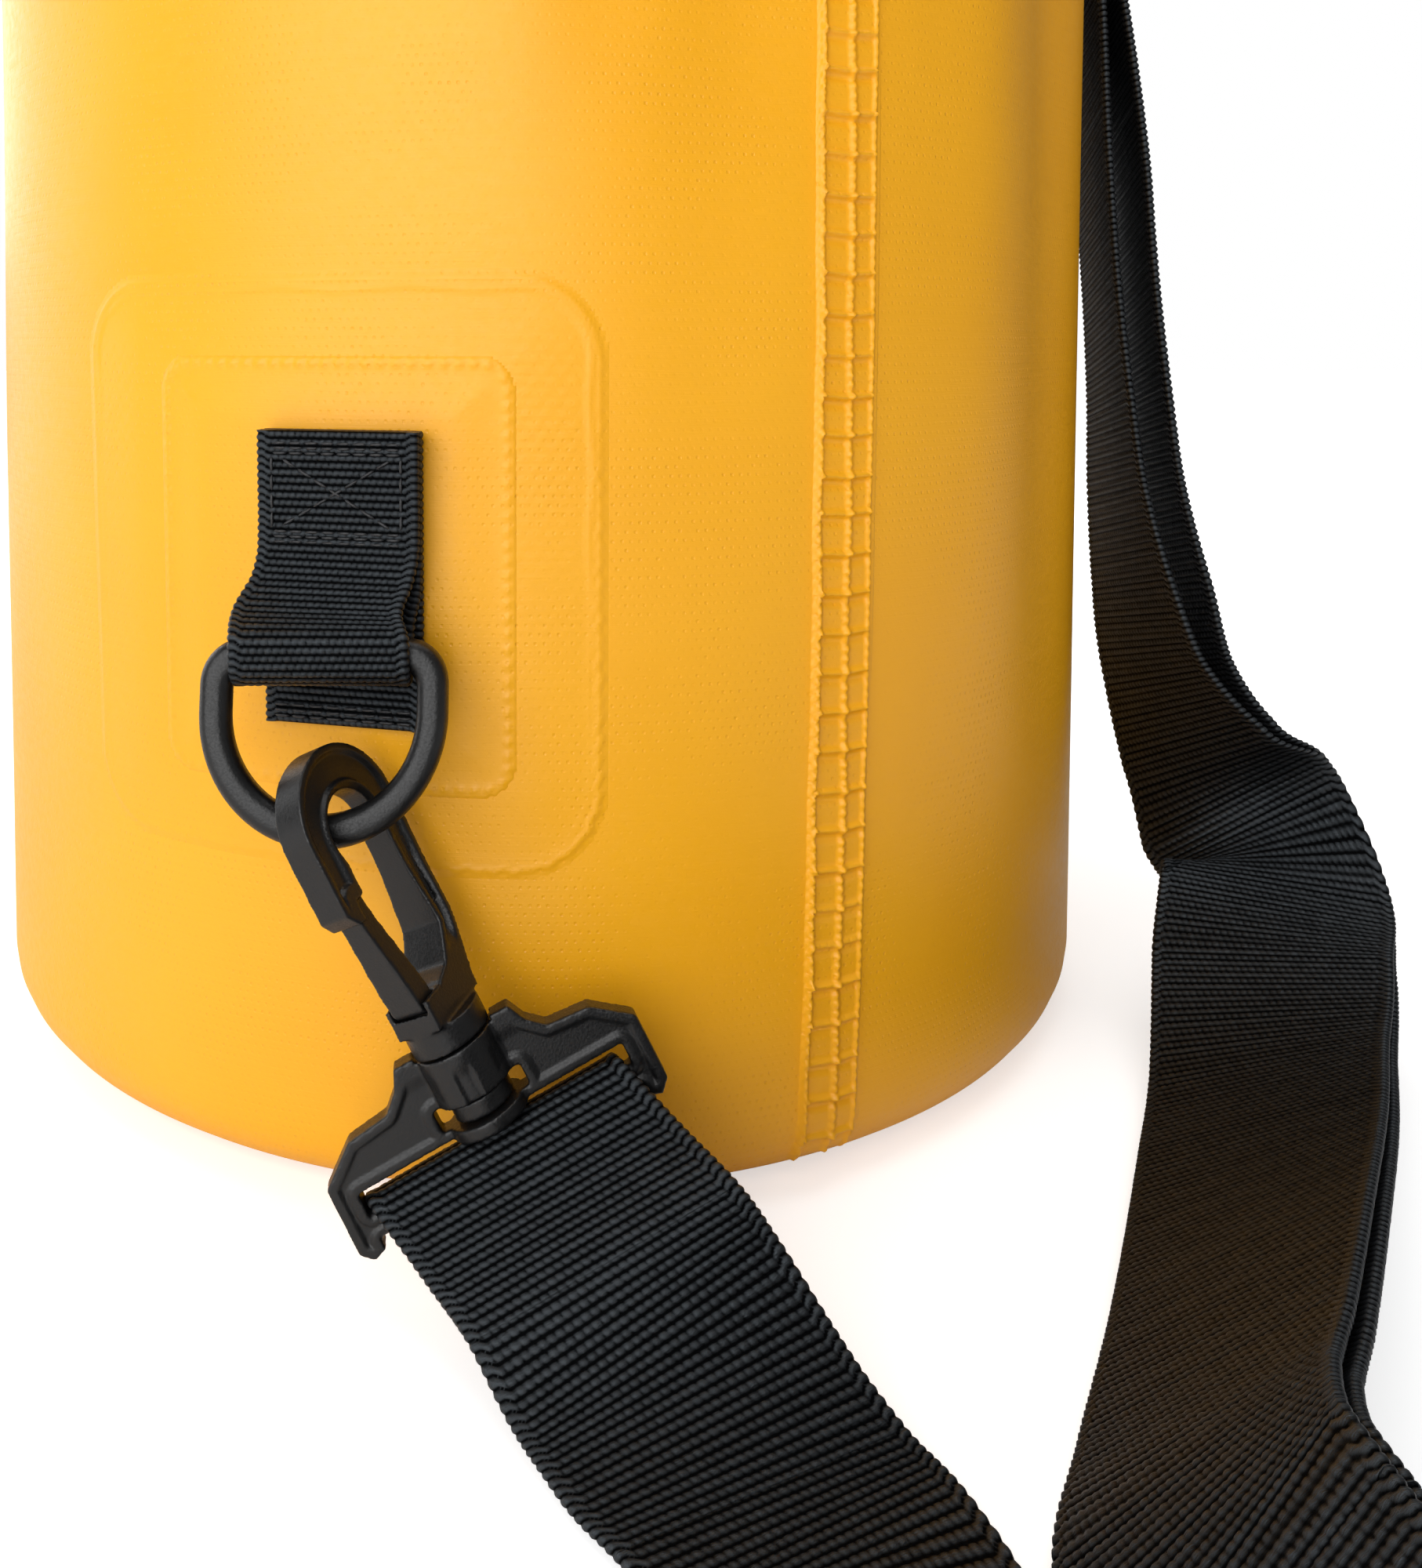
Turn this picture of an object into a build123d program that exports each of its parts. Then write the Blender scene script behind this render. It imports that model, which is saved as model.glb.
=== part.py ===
from build123d import *
from math import cos, pi, radians, sin, sqrt
import os

# Roll-top dry bag with a clip-on shoulder strap. Millimetres. The origin is the centre of the flat base,
# +Z is up, and the front, where the lower ring hangs, faces -Y.

# Bag
bag_radius = 108.0
front = -bag_radius
wall = 0.9
base_panel_radius = 96.0
base_weld_width = 12.0
base_edge_radius = 11.0
barrel_top = 245.0
neck_gap = 5.0
shoulder_rounding = 40.0
neck_rounding = 25.0
cutter_margin = 2.0

# Rolled mouth, bent up into a carrying loop
roll_width = 30.0
roll_thickness = 12.0
roll_corner = 5.5
roll_axis_z = 296.0
roll_inset = 58.0
roll_flat_half = bag_radius - roll_inset
roll_bend_radius = 45.0
roll_turn = 115.0
ear_turn = 70.0
stiffener_width = 25.0
stiffener_thickness = 1.6
seat_gap = 0.05

# Welded seam and patches
seam_bearing = 25.3
seam_width = 9.5
seam_thickness = 0.9
seam_bottom_z = 13.0
patch_thickness = 0.8
outer_patch_bearing = -17.5
outer_patch_width = 84.0
outer_patch_height = 84.0
outer_patch_corner = 12.5
outer_patch_z = 93.0
inner_patch_bearing = -16.3
inner_patch_width = 54.0
inner_patch_height = 60.6
inner_patch_corner = 4.5
inner_patch_z = 92.9

# Ring webbing
webbing_width = 25.0
webbing_thickness = 1.4
loop_bearing = -15.35
loop_top_z = 113.4
loop_kink_z = 93.0
backing_bottom_z = 71.0
backing_thickness = 1.5
thread_width = 0.8
thread_height = 0.3
stitch_box_width = 19.0
stitch_box_height = 14.0
stitch_box_below_top = 8.5
soft_clearance = 0.3

# D-ring
ring_bar = 4.5
ring_inner_width = 26.4
ring_drop = 22.8
ring_edge_rounding = 1.8
ring_top_corner = 6.0
ring_inner_corner = 1.9

# Swivel hook, measured down its own axis from the top of the arch
hook_thickness = 7.0
hook_eye_radius = 4.9
hook_eye_s = 11.0
eye_flare_depth = 0.9
hook_bar = 4.8
hook_nose_end = 21.0
hook_base_start = 31.0
hook_collar_start = 38.0
hook_collar_end = 41.4
collar_radius = 5.4
swivel_neck_radius = 2.6
swivel_clearance = 0.08
swivel_gap = 0.3
barrel_start = 41.7
barrel_end = 48.3
swivel_head_radius = 4.2
swivel_head_end = 51.0
gate_width = 5.0
gate_clearance = 0.3
gate_pivot_x = 3.9
gate_pivot_s = 34.0
gate_foot_radius = 1.7
hook_pocket_depth = 1.1

# Yoke of the swivel hook
yoke_thickness = 3.2
yoke_slot_width = 38.4
yoke_ear_width = 3.3
yoke_arm_start = 46.3
yoke_slot_start = 52.6
yoke_slot_end = 55.6
yoke_bar_end = 59.1
yoke_hub_half = 8.3
yoke_hub_start = 41.0
yoke_ear_end = 61.0
window_half = 6.3

# Shoulder strap
strap_width = 37.0
strap_thickness = 1.5
layer_pitch = 2.4
sewn_end_length = 20.0
bar_clearance = 0.25
eye_inner_radius = 2.2
floor_gap = 0.1
landing_arch = 2.6
landing_lift = 0.4

# Tri-glide
glide_thickness = 2.4
glide_width = 46.0
glide_end_bar = 4.0
glide_slot = 7.5
glide_centre_bar = 3.0
glide_centre = (60.5, front - 128.0)
glide_bank = 55.0
glide_reach = 16.0
glide_travel = 30.0
glide_spare = 2.0
glide_lift = 1.4
hairpin_start = (29.0, front - 174.0)
floor_bend_count = 5
riser_bend_count = 3
hairpin_bank = 80.0

# Side-release buckle
buckle_z = 402.5
buckle_width = 34.0
buckle_thickness = 11.0
buckle_skin = 1.9
female_back_x = -31.0
female_mouth_x = 3.0
male_back_x = 31.0
male_front_x = 3.4
buckle_bar_radius = 1.6
buckle_bar_x = 28.5
buckle_slot_inner_x = 23.0
buckle_cavity_half = 14.0
window_back_x = -20.0
window_front_x = -5.4
arm_root_x = 6.5
arm_root_y = 10.4
arm_root_radius = 1.8
arm_thickness = 6.2
male_thickness = 9.0

# Placing of the two ring and hook sets
ring_stand_off = 6.8
lower_bar_centre = Vector(-29.0, front - ring_stand_off, 83.8)
lower_ring_tilt = 12.0
lower_hook_along_ring = 3.5
lower_eye_drop = 11.0
lower_hook_axis = Vector(0.46, -0.06, -0.886).normalized()
lower_nose_direction = Vector(-0.39, -0.911, -0.14)
lower_yoke_direction = Vector(0.88, 0.13, 0.46)
lower_strap_direction = Vector(0.55, -0.76, -0.27)
upper_bar_reach = 12.0
upper_bar_rise = 20.0
upper_bar_centre = Vector(
    roll_flat_half + roll_bend_radius + upper_bar_reach, 0, roll_axis_z + upper_bar_rise
)
upper_loop_turns = (78.0, 102.0)
upper_ring_tilt = 20.0
upper_eye_drop = 9.3
upper_hook_axis = Vector(0, 0, -1)
upper_nose_direction = Vector(1, 0, 0)
upper_yoke_direction = Vector(0, -1, 0)
upper_strap_direction = Vector(0, 0, -1)


# ---------------------------------------------------------------- shared helpers
def bearing_plane(bearing, distance, z):
    """Plane facing outward at a bearing round the bag, measured from the front towards +X."""
    turn = radians(bearing)
    outward = Vector(sin(turn), -cos(turn), 0)
    return Plane(
        origin=outward * distance + Vector(0, 0, z),
        x_dir=(cos(turn), sin(turn), 0),
        z_dir=outward,
    )


def block(x_range, y_range, z_range):
    """Box between two limits on each axis."""
    size = [high - low for low, high in (x_range, y_range, z_range)]
    centre = [(high + low) / 2 for low, high in (x_range, y_range, z_range)]
    return Pos(*centre) * Box(*size)


def rod(radius, start, end):
    """Cylinder along local Z from start to end."""
    return Pos(0, 0, (start + end) / 2) * Cylinder(radius, end - start)


def outline_face(points):
    """Face inside a closed run of points."""
    return make_face(Polyline(*points, close=True))


def ribbon(stations, width, thickness, shift=0.0, first=0, last=None):
    """Flat webbing through stations of (centre, edge direction), from the first to the last one given.

    shift moves it towards its inner face.
    """
    sections = []
    for i, (centre, edge) in enumerate(stations):
        before = stations[max(i - 1, 0)][0]
        after = stations[min(i + 1, len(stations) - 1)][0]
        along = (after - before).normalized()
        across = (edge - along * edge.dot(along)).normalized()
        inner = across.cross(along)
        plane = Plane(origin=centre + inner * shift, x_dir=across, z_dir=along)
        sections.append(plane * Rectangle(width, thickness))
    end = len(sections) if last is None else last + 1
    return loft(sections[first:end], ruled=True)


# ---------------------------------------------------------------- bag
def roll_point(turn, radius):
    """Point of the right-hand roll bend, in side view, at a turn from straight down."""
    centre_z = roll_axis_z + roll_bend_radius
    return (roll_flat_half + radius * sin(radians(turn)), centre_z - radius * cos(radians(turn)))


def mirrored(point):
    return (-point[0], point[1])


def roof_profile():
    """Bag seen from its side, with rounded shoulders and a narrow flat neck under the roll."""
    neck_half = neck_gap / 2 + wall
    neck_z = roll_axis_z - roll_thickness / 2
    slope = (neck_z - barrel_top) / (bag_radius - neck_half)
    side = bag_radius + cutter_margin
    side_z = barrel_top - slope * cutter_margin
    top_z = neck_z + 4 * roll_bend_radius
    left = [(-side, -cutter_margin), (-side, side_z), (-neck_half, neck_z), (-neck_half, top_z)]
    right = [(-y, z) for y, z in reversed(left)]
    face = outline_face(left + right)
    shoulders = face.vertices().filter_by_position(Axis.Y, side_z - 1, side_z + 1)
    face = fillet(shoulders, shoulder_rounding)
    necks = face.vertices().filter_by_position(Axis.Y, neck_z - 0.01, neck_z + 0.01)
    return fillet(necks, neck_rounding)


def front_profile(inset, open_top):
    """Bag seen from the front: straight sides, then ears that lean in beside the roll."""
    under_roll = roll_bend_radius + roll_thickness / 2 + seat_gap
    ear = roll_point(ear_turn, under_roll)
    lean = (ear[0] - bag_radius) / (ear[1] - barrel_top)
    side = bag_radius + cutter_margin
    side_z = barrel_top + cutter_margin / lean
    right = [(side - inset, -cutter_margin), (side - inset, side_z), (ear[0] - inset, ear[1])]
    if open_top:
        top_z = ear[1] + roll_bend_radius
        right.append((ear[0] - inset, top_z))
        return outline_face(right + [mirrored(p) for p in reversed(right)])
    bottom = roll_point(0, under_roll)
    middle = roll_point(ear_turn / 2, under_roll)
    edge = (
        Polyline(*right)
        + ThreePointArc(ear, middle, bottom)
        + Line(bottom, mirrored(bottom))
        + ThreePointArc(mirrored(bottom), mirrored(middle), mirrored(ear))
        + Polyline(*[mirrored(p) for p in reversed(right)])
        + Line(mirrored(right[0]), right[0])
    )
    return make_face(edge)


def bag_envelope(inset):
    """Solid of the bag's outside, or of its inside where inset is the wall."""
    radius = bag_radius - inset
    base_z = wall + inset
    height = 4 * barrel_top
    barrel = rod(radius, base_z, height)
    bottom_edge = barrel.edges().sort_by(Axis.Z)[0]
    barrel = fillet(bottom_edge, base_edge_radius - inset)
    side_face = roof_profile()
    if inset:
        side_face = offset(side_face, amount=-inset, kind=Kind.INTERSECTION)
    roof = extrude(Plane.YZ * side_face, amount=height, both=True)
    front = extrude(Plane.XZ * front_profile(inset, bool(inset)), amount=height, both=True)
    return barrel & roof & front


def bag_wall():
    shell = bag_envelope(0) - bag_envelope(wall)
    return shell - rod(base_panel_radius - base_weld_width, 0, 3 * wall)


def base_panel():
    return rod(base_panel_radius, 0, wall)


def on_bag(bearing, radius, thickness, cutter):
    """Part of a thin layer round the bag that lies inside a cutter drawn on the plane at a bearing."""
    prism = extrude(bearing_plane(bearing, radius / 2, 0) * cutter, amount=radius)
    height = 2 * barrel_top
    return prism & (rod(radius + thickness, 0, height) - rod(radius, 0, height))


def side_seam():
    height = barrel_top - seam_bottom_z
    strip = Pos(0, seam_bottom_z + height / 2) * Rectangle(seam_width, height)
    seam = on_bag(seam_bearing, bag_radius, seam_thickness, strip)
    roof = extrude(Plane.YZ * offset(roof_profile(), amount=-wall), amount=height, both=True)
    return seam & roof


def patch(bearing, radius, width, height, corner, z):
    shape = Pos(0, z) * RectangleRounded(width, height, corner)
    return on_bag(bearing, radius, patch_thickness, shape)


def outer_patch():
    return patch(
        outer_patch_bearing,
        bag_radius,
        outer_patch_width,
        outer_patch_height,
        outer_patch_corner,
        outer_patch_z,
    )


def inner_patch():
    return patch(
        inner_patch_bearing,
        bag_radius + patch_thickness,
        inner_patch_width,
        inner_patch_height,
        inner_patch_corner,
        inner_patch_z,
    )


# ---------------------------------------------------------------- ring webbing
patch_surface = bag_radius + 2 * patch_thickness
backing_face = patch_surface + backing_thickness
loop_inner_radius = ring_bar / 2 * 1.09 + soft_clearance
loop_centre_radius = loop_inner_radius + webbing_thickness / 2


def loop_backing():
    """Flat strip sewn to the inner patch, hollowed behind to lie on the round bag."""
    height = loop_top_z - backing_bottom_z
    strip = Pos(0, backing_bottom_z + height / 2) * Rectangle(webbing_width, height)
    slab = extrude(bearing_plane(loop_bearing, bag_radius - 2, 0) * strip, amount=backing_face - bag_radius + 2)
    return slab - rod(patch_surface, 0, 2 * barrel_top)


def webbing_loop(upper, upper_turn, kink_centre, bar_centre, bar_turn):
    """Webbing folded under a ring's bar: a sewn double upper end, two legs and the fold.

    kink_centre is the middle of the two layers where the legs part; turns are about Z from +X.
    """
    upper_place = Pos(*kink_centre) * Rot(0, 0, upper_turn)
    fold_place = Pos(*bar_centre) * Rot(0, 0, bar_turn)
    parts = [upper]
    for side in (-1, 1):
        lower_layer = Pos(0, side * loop_centre_radius) * Rectangle(webbing_width, webbing_thickness)
        upper_layer = Pos(0, side * webbing_thickness / 2) * Rectangle(webbing_width, webbing_thickness)
        shoulder = fold_place * Pos(0, 0, ring_bar / 2) * lower_layer
        parts.append(loft([fold_place * lower_layer, shoulder, upper_place * upper_layer], ruled=True))
    fold = Rot(0, 90, 0) * (
        Cylinder(loop_inner_radius + webbing_thickness, webbing_width)
        - Cylinder(loop_inner_radius, webbing_width)
    )
    above_bar = Pos(0, 0, webbing_width) * Box(2 * webbing_width, 2 * webbing_width, 2 * webbing_width)
    parts.append(fold_place * (fold - above_bar))
    return parts[0].fuse(*parts[1:])


def ring_loop():
    plane = bearing_plane(loop_bearing, backing_face, 0)
    height = loop_top_z - loop_kink_z
    strip = Pos(0, loop_kink_z + height / 2) * Rectangle(webbing_width, height)
    upper = extrude(plane * strip, amount=2 * webbing_thickness)
    kink = bearing_plane(loop_bearing, backing_face + webbing_thickness, loop_kink_z).origin
    return webbing_loop(upper, loop_bearing, kink, lower_bar_centre, 0)


def upper_loop():
    """Webbing sewn on the outside of the roll's right bend, folded under the upper ring's bar."""
    low, high = upper_loop_turns
    surface = roll_bend_radius + roll_thickness / 2 + seat_gap
    points = [roll_point(turn, surface + 4 * webbing_thickness) for turn in (low, (low + high) / 2, high)]
    centre = (roll_flat_half, roll_axis_z + roll_bend_radius)
    wedge = make_face(
        Polyline(points[2], centre, points[0]) + ThreePointArc(points[0], points[1], points[2])
    )
    band = Circle(surface + 2 * webbing_thickness) - Circle(surface)
    band = wedge & (Pos(*centre) * band)
    upper = extrude(Plane.XZ * band, amount=webbing_width / 2, both=True)
    kink_x, kink_z = roll_point(low + 1, surface + webbing_thickness)
    return webbing_loop(upper, 90, Vector(kink_x, 0, kink_z), upper_bar_centre, 90)


def box_stitch(width, height):
    """Sewn box with a cross, as raised thread."""
    inner = Rectangle(width - 2 * thread_width, height - 2 * thread_width)
    frame = Rectangle(width, height) - inner
    diagonal = sqrt(width * width + height * height)
    for sign in (-1, 1):
        stroke = Rectangle(diagonal, thread_width).rotate(Axis.Z, sign * 36.4)
        frame += stroke & Rectangle(width, height)
    return extrude(frame, amount=thread_height)


def loop_stitching():
    face = backing_face + 2 * webbing_thickness
    plane = bearing_plane(loop_bearing, face, loop_top_z - stitch_box_below_top)
    return plane * box_stitch(stitch_box_width, stitch_box_height)


# ---------------------------------------------------------------- rolled mouth and its tabs
def roll_path():
    under = roll_point(0, roll_bend_radius)
    middle = roll_point(roll_turn / 2, roll_bend_radius)
    bend_end = roll_point(roll_turn, roll_bend_radius)
    length = pi * bag_radius / 2 - roll_flat_half - radians(roll_turn) * roll_bend_radius
    tip = (
        bend_end[0] + length * cos(radians(roll_turn)),
        bend_end[1] + length * sin(radians(roll_turn)),
    )
    curve = (
        Line(mirrored(tip), mirrored(bend_end))
        + ThreePointArc(mirrored(bend_end), mirrored(middle), mirrored(under))
        + Line(mirrored(under), under)
        + ThreePointArc(under, middle, bend_end)
        + Line(bend_end, tip)
    )
    return Wire([edge for edge in (Plane.XZ * curve).edges()]), tip


def roll_sweep(section):
    path, _ = roll_path()
    start = Plane(origin=path @ 0, x_dir=(0, 1, 0), z_dir=path % 0)
    return sweep(start * section, path=path)


def mouth_roll():
    body = roll_sweep(RectangleRounded(roll_width, roll_thickness, roll_corner))
    pocket = Rectangle(stiffener_width + 2 * seat_gap, stiffener_thickness + 2 * seat_gap)
    return body - roll_sweep(pocket)


def mouth_stiffener():
    return roll_sweep(Rectangle(stiffener_width, stiffener_thickness))


def closure_tab(side):
    """Doubled webbing from one end of the roll to the bar of its half of the buckle."""
    _, tip = roll_path()
    lean = Vector(cos(radians(roll_turn)), 0, sin(radians(roll_turn)))
    start = Vector(tip[0], 0, tip[1])
    loop_outer = buckle_bar_radius + bar_clearance + webbing_thickness
    points = [
        start + lean * 0.1,
        start + lean * 6,
        Vector(69.5, 0, buckle_z - 3.4),
        Vector(61.0, 0, buckle_z - 0.4),
        Vector(50.0, 0, buckle_z),
        Vector(buckle_bar_x + loop_outer - 0.8, 0, buckle_z),
    ]
    band = ribbon([(p, Vector(0, 1, 0)) for p in points], webbing_width, 2 * webbing_thickness)
    eye = Pos(buckle_bar_x, 0, buckle_z) * Rot(90, 0, 0) * Cylinder(loop_outer, webbing_width)
    hole = Pos(buckle_bar_x, 0, buckle_z) * Rot(90, 0, 0) * Cylinder(
        buckle_bar_radius + bar_clearance, 2 * webbing_width
    )
    tab = band + eye - hole
    return tab if side > 0 else tab.mirror(Plane.YZ)


# ---------------------------------------------------------------- buckle
def buckle_eye(outer_x):
    """Frame round the webbing bar of one half of the buckle, on the +X side."""
    loop_outer = buckle_bar_radius + bar_clearance + webbing_thickness
    slot = block(
        (buckle_slot_inner_x, buckle_bar_x + loop_outer + 2),
        (-webbing_width / 2 - 0.7, webbing_width / 2 + 0.7),
        (-buckle_thickness, buckle_thickness),
    )
    bar = Pos(buckle_bar_x, 0, 0) * Rot(90, 0, 0) * Cylinder(buckle_bar_radius, buckle_width - 2)
    return slot, bar & block((0, outer_x), (-buckle_width, buckle_width), (-5, 5))


def buckle_female():
    half = buckle_width / 2
    shell = Pos((female_back_x + female_mouth_x) / 2, 0, 0) * Box(
        female_mouth_x - female_back_x, buckle_width, buckle_thickness
    )
    shell = fillet(shell.edges().filter_by(Axis.X), 3.2)
    slot, bar = buckle_eye(male_back_x)
    shell -= slot.mirror(Plane.YZ)
    shell += bar.mirror(Plane.YZ)
    inside = buckle_thickness / 2 - buckle_skin
    shell -= block(
        (window_back_x, female_mouth_x + 1), (-buckle_cavity_half, buckle_cavity_half), (-inside, inside)
    )
    shell -= block((window_back_x, window_front_x), (-half - 1, half + 1), (-inside, inside))
    return Pos(0, 0, buckle_z) * shell


def buckle_male():
    half = buckle_width / 2
    base = Pos((male_front_x + male_back_x) / 2, 0, 0) * Box(
        male_back_x - male_front_x, buckle_width, male_thickness
    )
    base = fillet(base.edges().filter_by(Axis.X), 3.0)
    slot, bar = buckle_eye(male_back_x)
    base = base - slot + bar
    gap = gate_clearance
    for side in (-1, 1):
        low, high = sorted((side * (arm_root_y - 2.4), side * (arm_root_y + 2.4)))
        base -= block(
            (male_front_x - 1, arm_root_x + arm_root_radius + gap),
            (low, high),
            (-arm_thickness / 2 - gap, arm_thickness / 2 + gap),
        )
    prong = block((-16, male_front_x + 1), (-2.5, 2.5), (-2.2, 2.2))
    stem = block((male_front_x, 14), (-half + 9.5, half - 9.5), (-2.2, 2.2))
    return Pos(0, 0, buckle_z) * (base + prong + stem)


def latch_arm(side):
    """Springy arm of the male half, whose shoulder catches behind the mouth of the female half."""
    shape = outline_face(
        [
            (arm_root_x, 8.6),
            (arm_root_x, 12.2),
            (-5.6, 12.6),
            (-6.2, 16.4),
            (-10.0, 16.7),
            (-16.5, 14.0),
            (-18.5, 11.0),
            (-18.0, 9.2),
            (-8.0, 9.0),
        ]
    )
    shape += Pos(arm_root_x, arm_root_y) * Circle(arm_root_radius)
    arm = extrude(shape, amount=arm_thickness / 2, both=True)
    arm = arm if side > 0 else arm.mirror(Plane.XZ)
    return Pos(0, 0, buckle_z) * arm


# ---------------------------------------------------------------- ring, hook, gate and yoke
def ring_local():
    """D-ring with its bar along X at the origin and its round side towards +Z."""
    bottom_centre = ring_drop - ring_bar / 2 - ring_inner_width / 2 + ring_bar / 2
    outer_radius = ring_inner_width / 2 + ring_bar
    inner_radius = ring_inner_width / 2
    centre_z = ring_drop + ring_bar / 2 - outer_radius
    outer = Pos(0, (centre_z - ring_bar / 2) / 2) * Rectangle(2 * outer_radius, centre_z + ring_bar / 2)
    corners = outer.vertices().sort_by(Axis.Y)[:2]
    outer = fillet(corners, ring_top_corner)
    lower = Circle(outer_radius) & Pos(0, outer_radius) * Rectangle(2 * outer_radius, 2 * outer_radius)
    outer += Pos(0, centre_z) * lower
    inner = Pos(0, (centre_z + ring_bar / 2) / 2) * Rectangle(2 * inner_radius, centre_z - ring_bar / 2)
    corners = inner.vertices().sort_by(Axis.Y)[:2]
    inner = fillet(corners, ring_inner_corner)
    lower = Circle(inner_radius) & Pos(0, inner_radius) * Rectangle(2 * inner_radius, 2 * inner_radius)
    inner += Pos(0, centre_z) * lower
    plate = extrude(Plane.XZ * (outer - inner), amount=ring_bar / 2, both=True)
    edges = plate.edges().filter_by_position(Axis.Y, ring_bar / 2 - 0.01, ring_bar / 2 + 0.01)
    edges += plate.edges().filter_by_position(Axis.Y, -ring_bar / 2 - 0.01, -ring_bar / 2 + 0.01)
    return fillet(edges, ring_edge_rounding)


def hook_profile():
    """Hook seen square to its own plane: x towards the nose, y down the axis."""
    outer = hook_eye_radius + hook_bar
    inner = hook_eye_radius
    body = (Pos(0, outer) * Circle(outer)) & (Pos(0, outer / 2) * Rectangle(2 * outer, outer))
    body += outline_face(
        [
            (-outer, outer),
            (outer, outer),
            (outer, hook_nose_end - 2),
            (outer - 1.6, hook_nose_end),
            (inner + 1.4, hook_nose_end),
            (inner, hook_nose_end - 3),
            (inner, hook_eye_s),
            (-inner, hook_eye_s),
            (0.4 - inner, hook_base_start - 3),
            (3.4 - inner, hook_base_start + 1.5),
            (1.2, hook_base_start + 2.5),
            (1.2, hook_collar_start),
            (-collar_radius, hook_collar_start),
            (-collar_radius - 0.2, hook_base_start + 5),
            (-collar_radius - 2.5, hook_base_start - 3),
            (0.4 - outer, hook_base_start - 13),
        ]
    )
    return body - Pos(0, hook_eye_s) * Circle(inner)


def gate_shape(grow):
    """Gate tongue, or with grow the room that it needs, in the hook's own plane."""
    tip_y = hook_nose_end - 3.4
    tongue = outline_face(
        [
            (gate_pivot_x - gate_foot_radius, gate_pivot_s),
            (hook_eye_radius - 0.2, tip_y + 3),
            (hook_eye_radius + 0.2, tip_y),
            (hook_eye_radius + 2.3, tip_y),
            (hook_eye_radius + 2.7, tip_y + 2.5),
            (gate_pivot_x + gate_foot_radius, gate_pivot_s),
        ]
    )
    tongue += Pos(gate_pivot_x, gate_pivot_s) * Circle(gate_foot_radius)
    return offset(tongue, amount=grow) if grow else tongue


def hook_local():
    half = hook_thickness / 2
    body = extrude(Plane.XZ * hook_profile(), amount=half, both=True)
    shoulder = gate_width / 2 + gate_clearance + 0.7
    body += block(
        (-collar_radius, collar_radius), (-shoulder, shoulder), (gate_pivot_s - 0.2, hook_collar_start)
    )
    body -= extrude(
        Plane.XZ * gate_shape(gate_clearance), amount=gate_width / 2 + gate_clearance, both=True
    )
    pocket = Plane.XZ * outline_face([(-8.0, 13), (-6.3, 13), (-5.7, 26), (-7.0, 26)])
    for side in (-1, 1):
        body -= Pos(0, side * half, 0) * extrude(pocket, amount=hook_pocket_depth, both=True)
        eye_flare = Cone(hook_eye_radius + eye_flare_depth, hook_eye_radius, eye_flare_depth)
        body -= Pos(0, side * (half - eye_flare_depth / 2), hook_eye_s) * Rot(side * 90, 0, 0) * eye_flare
    body += rod(collar_radius, hook_collar_start, hook_collar_end)
    body += rod(swivel_neck_radius, hook_collar_end - 1, barrel_end + swivel_gap + 1)
    body += rod(swivel_head_radius, barrel_end + swivel_gap, swivel_head_end)
    return body


def gate_local():
    return extrude(Plane.XZ * gate_shape(0), amount=gate_width / 2, both=True)


def yoke_local():
    """Plate with the barrel that turns on the hook's neck, and the slot and bar for the strap."""
    half_slot = yoke_slot_width / 2
    half = half_slot + yoke_ear_width
    right = [
        (yoke_hub_half, yoke_hub_start),
        (yoke_hub_half + 1.2, yoke_hub_start + 2.6),
        (yoke_hub_half + 3.4, yoke_arm_start - 0.6),
        (half - 5, yoke_arm_start),
        (half, yoke_arm_start + 4),
        (half, yoke_ear_end - 1.5),
        (half - 1.5, yoke_ear_end),
        (half_slot, yoke_ear_end - 0.6),
        (half_slot, yoke_bar_end),
    ]
    plate = outline_face(right + [mirrored(p) for p in reversed(right)])
    slot_height = yoke_slot_end - yoke_slot_start
    plate -= Pos(0, yoke_slot_start + slot_height / 2) * Rectangle(yoke_slot_width, slot_height)
    body = extrude(Plane.XZ * plate, amount=yoke_thickness / 2, both=True)
    bar_edges = [
        edge
        for edge in body.edges().filter_by(Axis.X)
        if yoke_slot_end - 0.01 <= edge.center().Z <= yoke_bar_end + 0.01 and abs(edge.center().X) < 1
    ]
    body = fillet(bar_edges, 1.1)
    body += rod(collar_radius, barrel_start, yoke_slot_start + 0.5)
    body -= rod(collar_radius + swivel_gap, 0, barrel_start)
    window = (barrel_end, swivel_head_end + swivel_gap)
    body -= block((-window_half, window_half), (-2 * collar_radius, 2 * collar_radius), window)
    body -= rod(swivel_neck_radius + swivel_clearance, barrel_start - 5, barrel_end + 1)
    return body


def square_to(axis, direction):
    """Unit direction square to an axis, nearest to the one given."""
    return (direction - axis * direction.dot(axis)).normalized()


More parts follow.
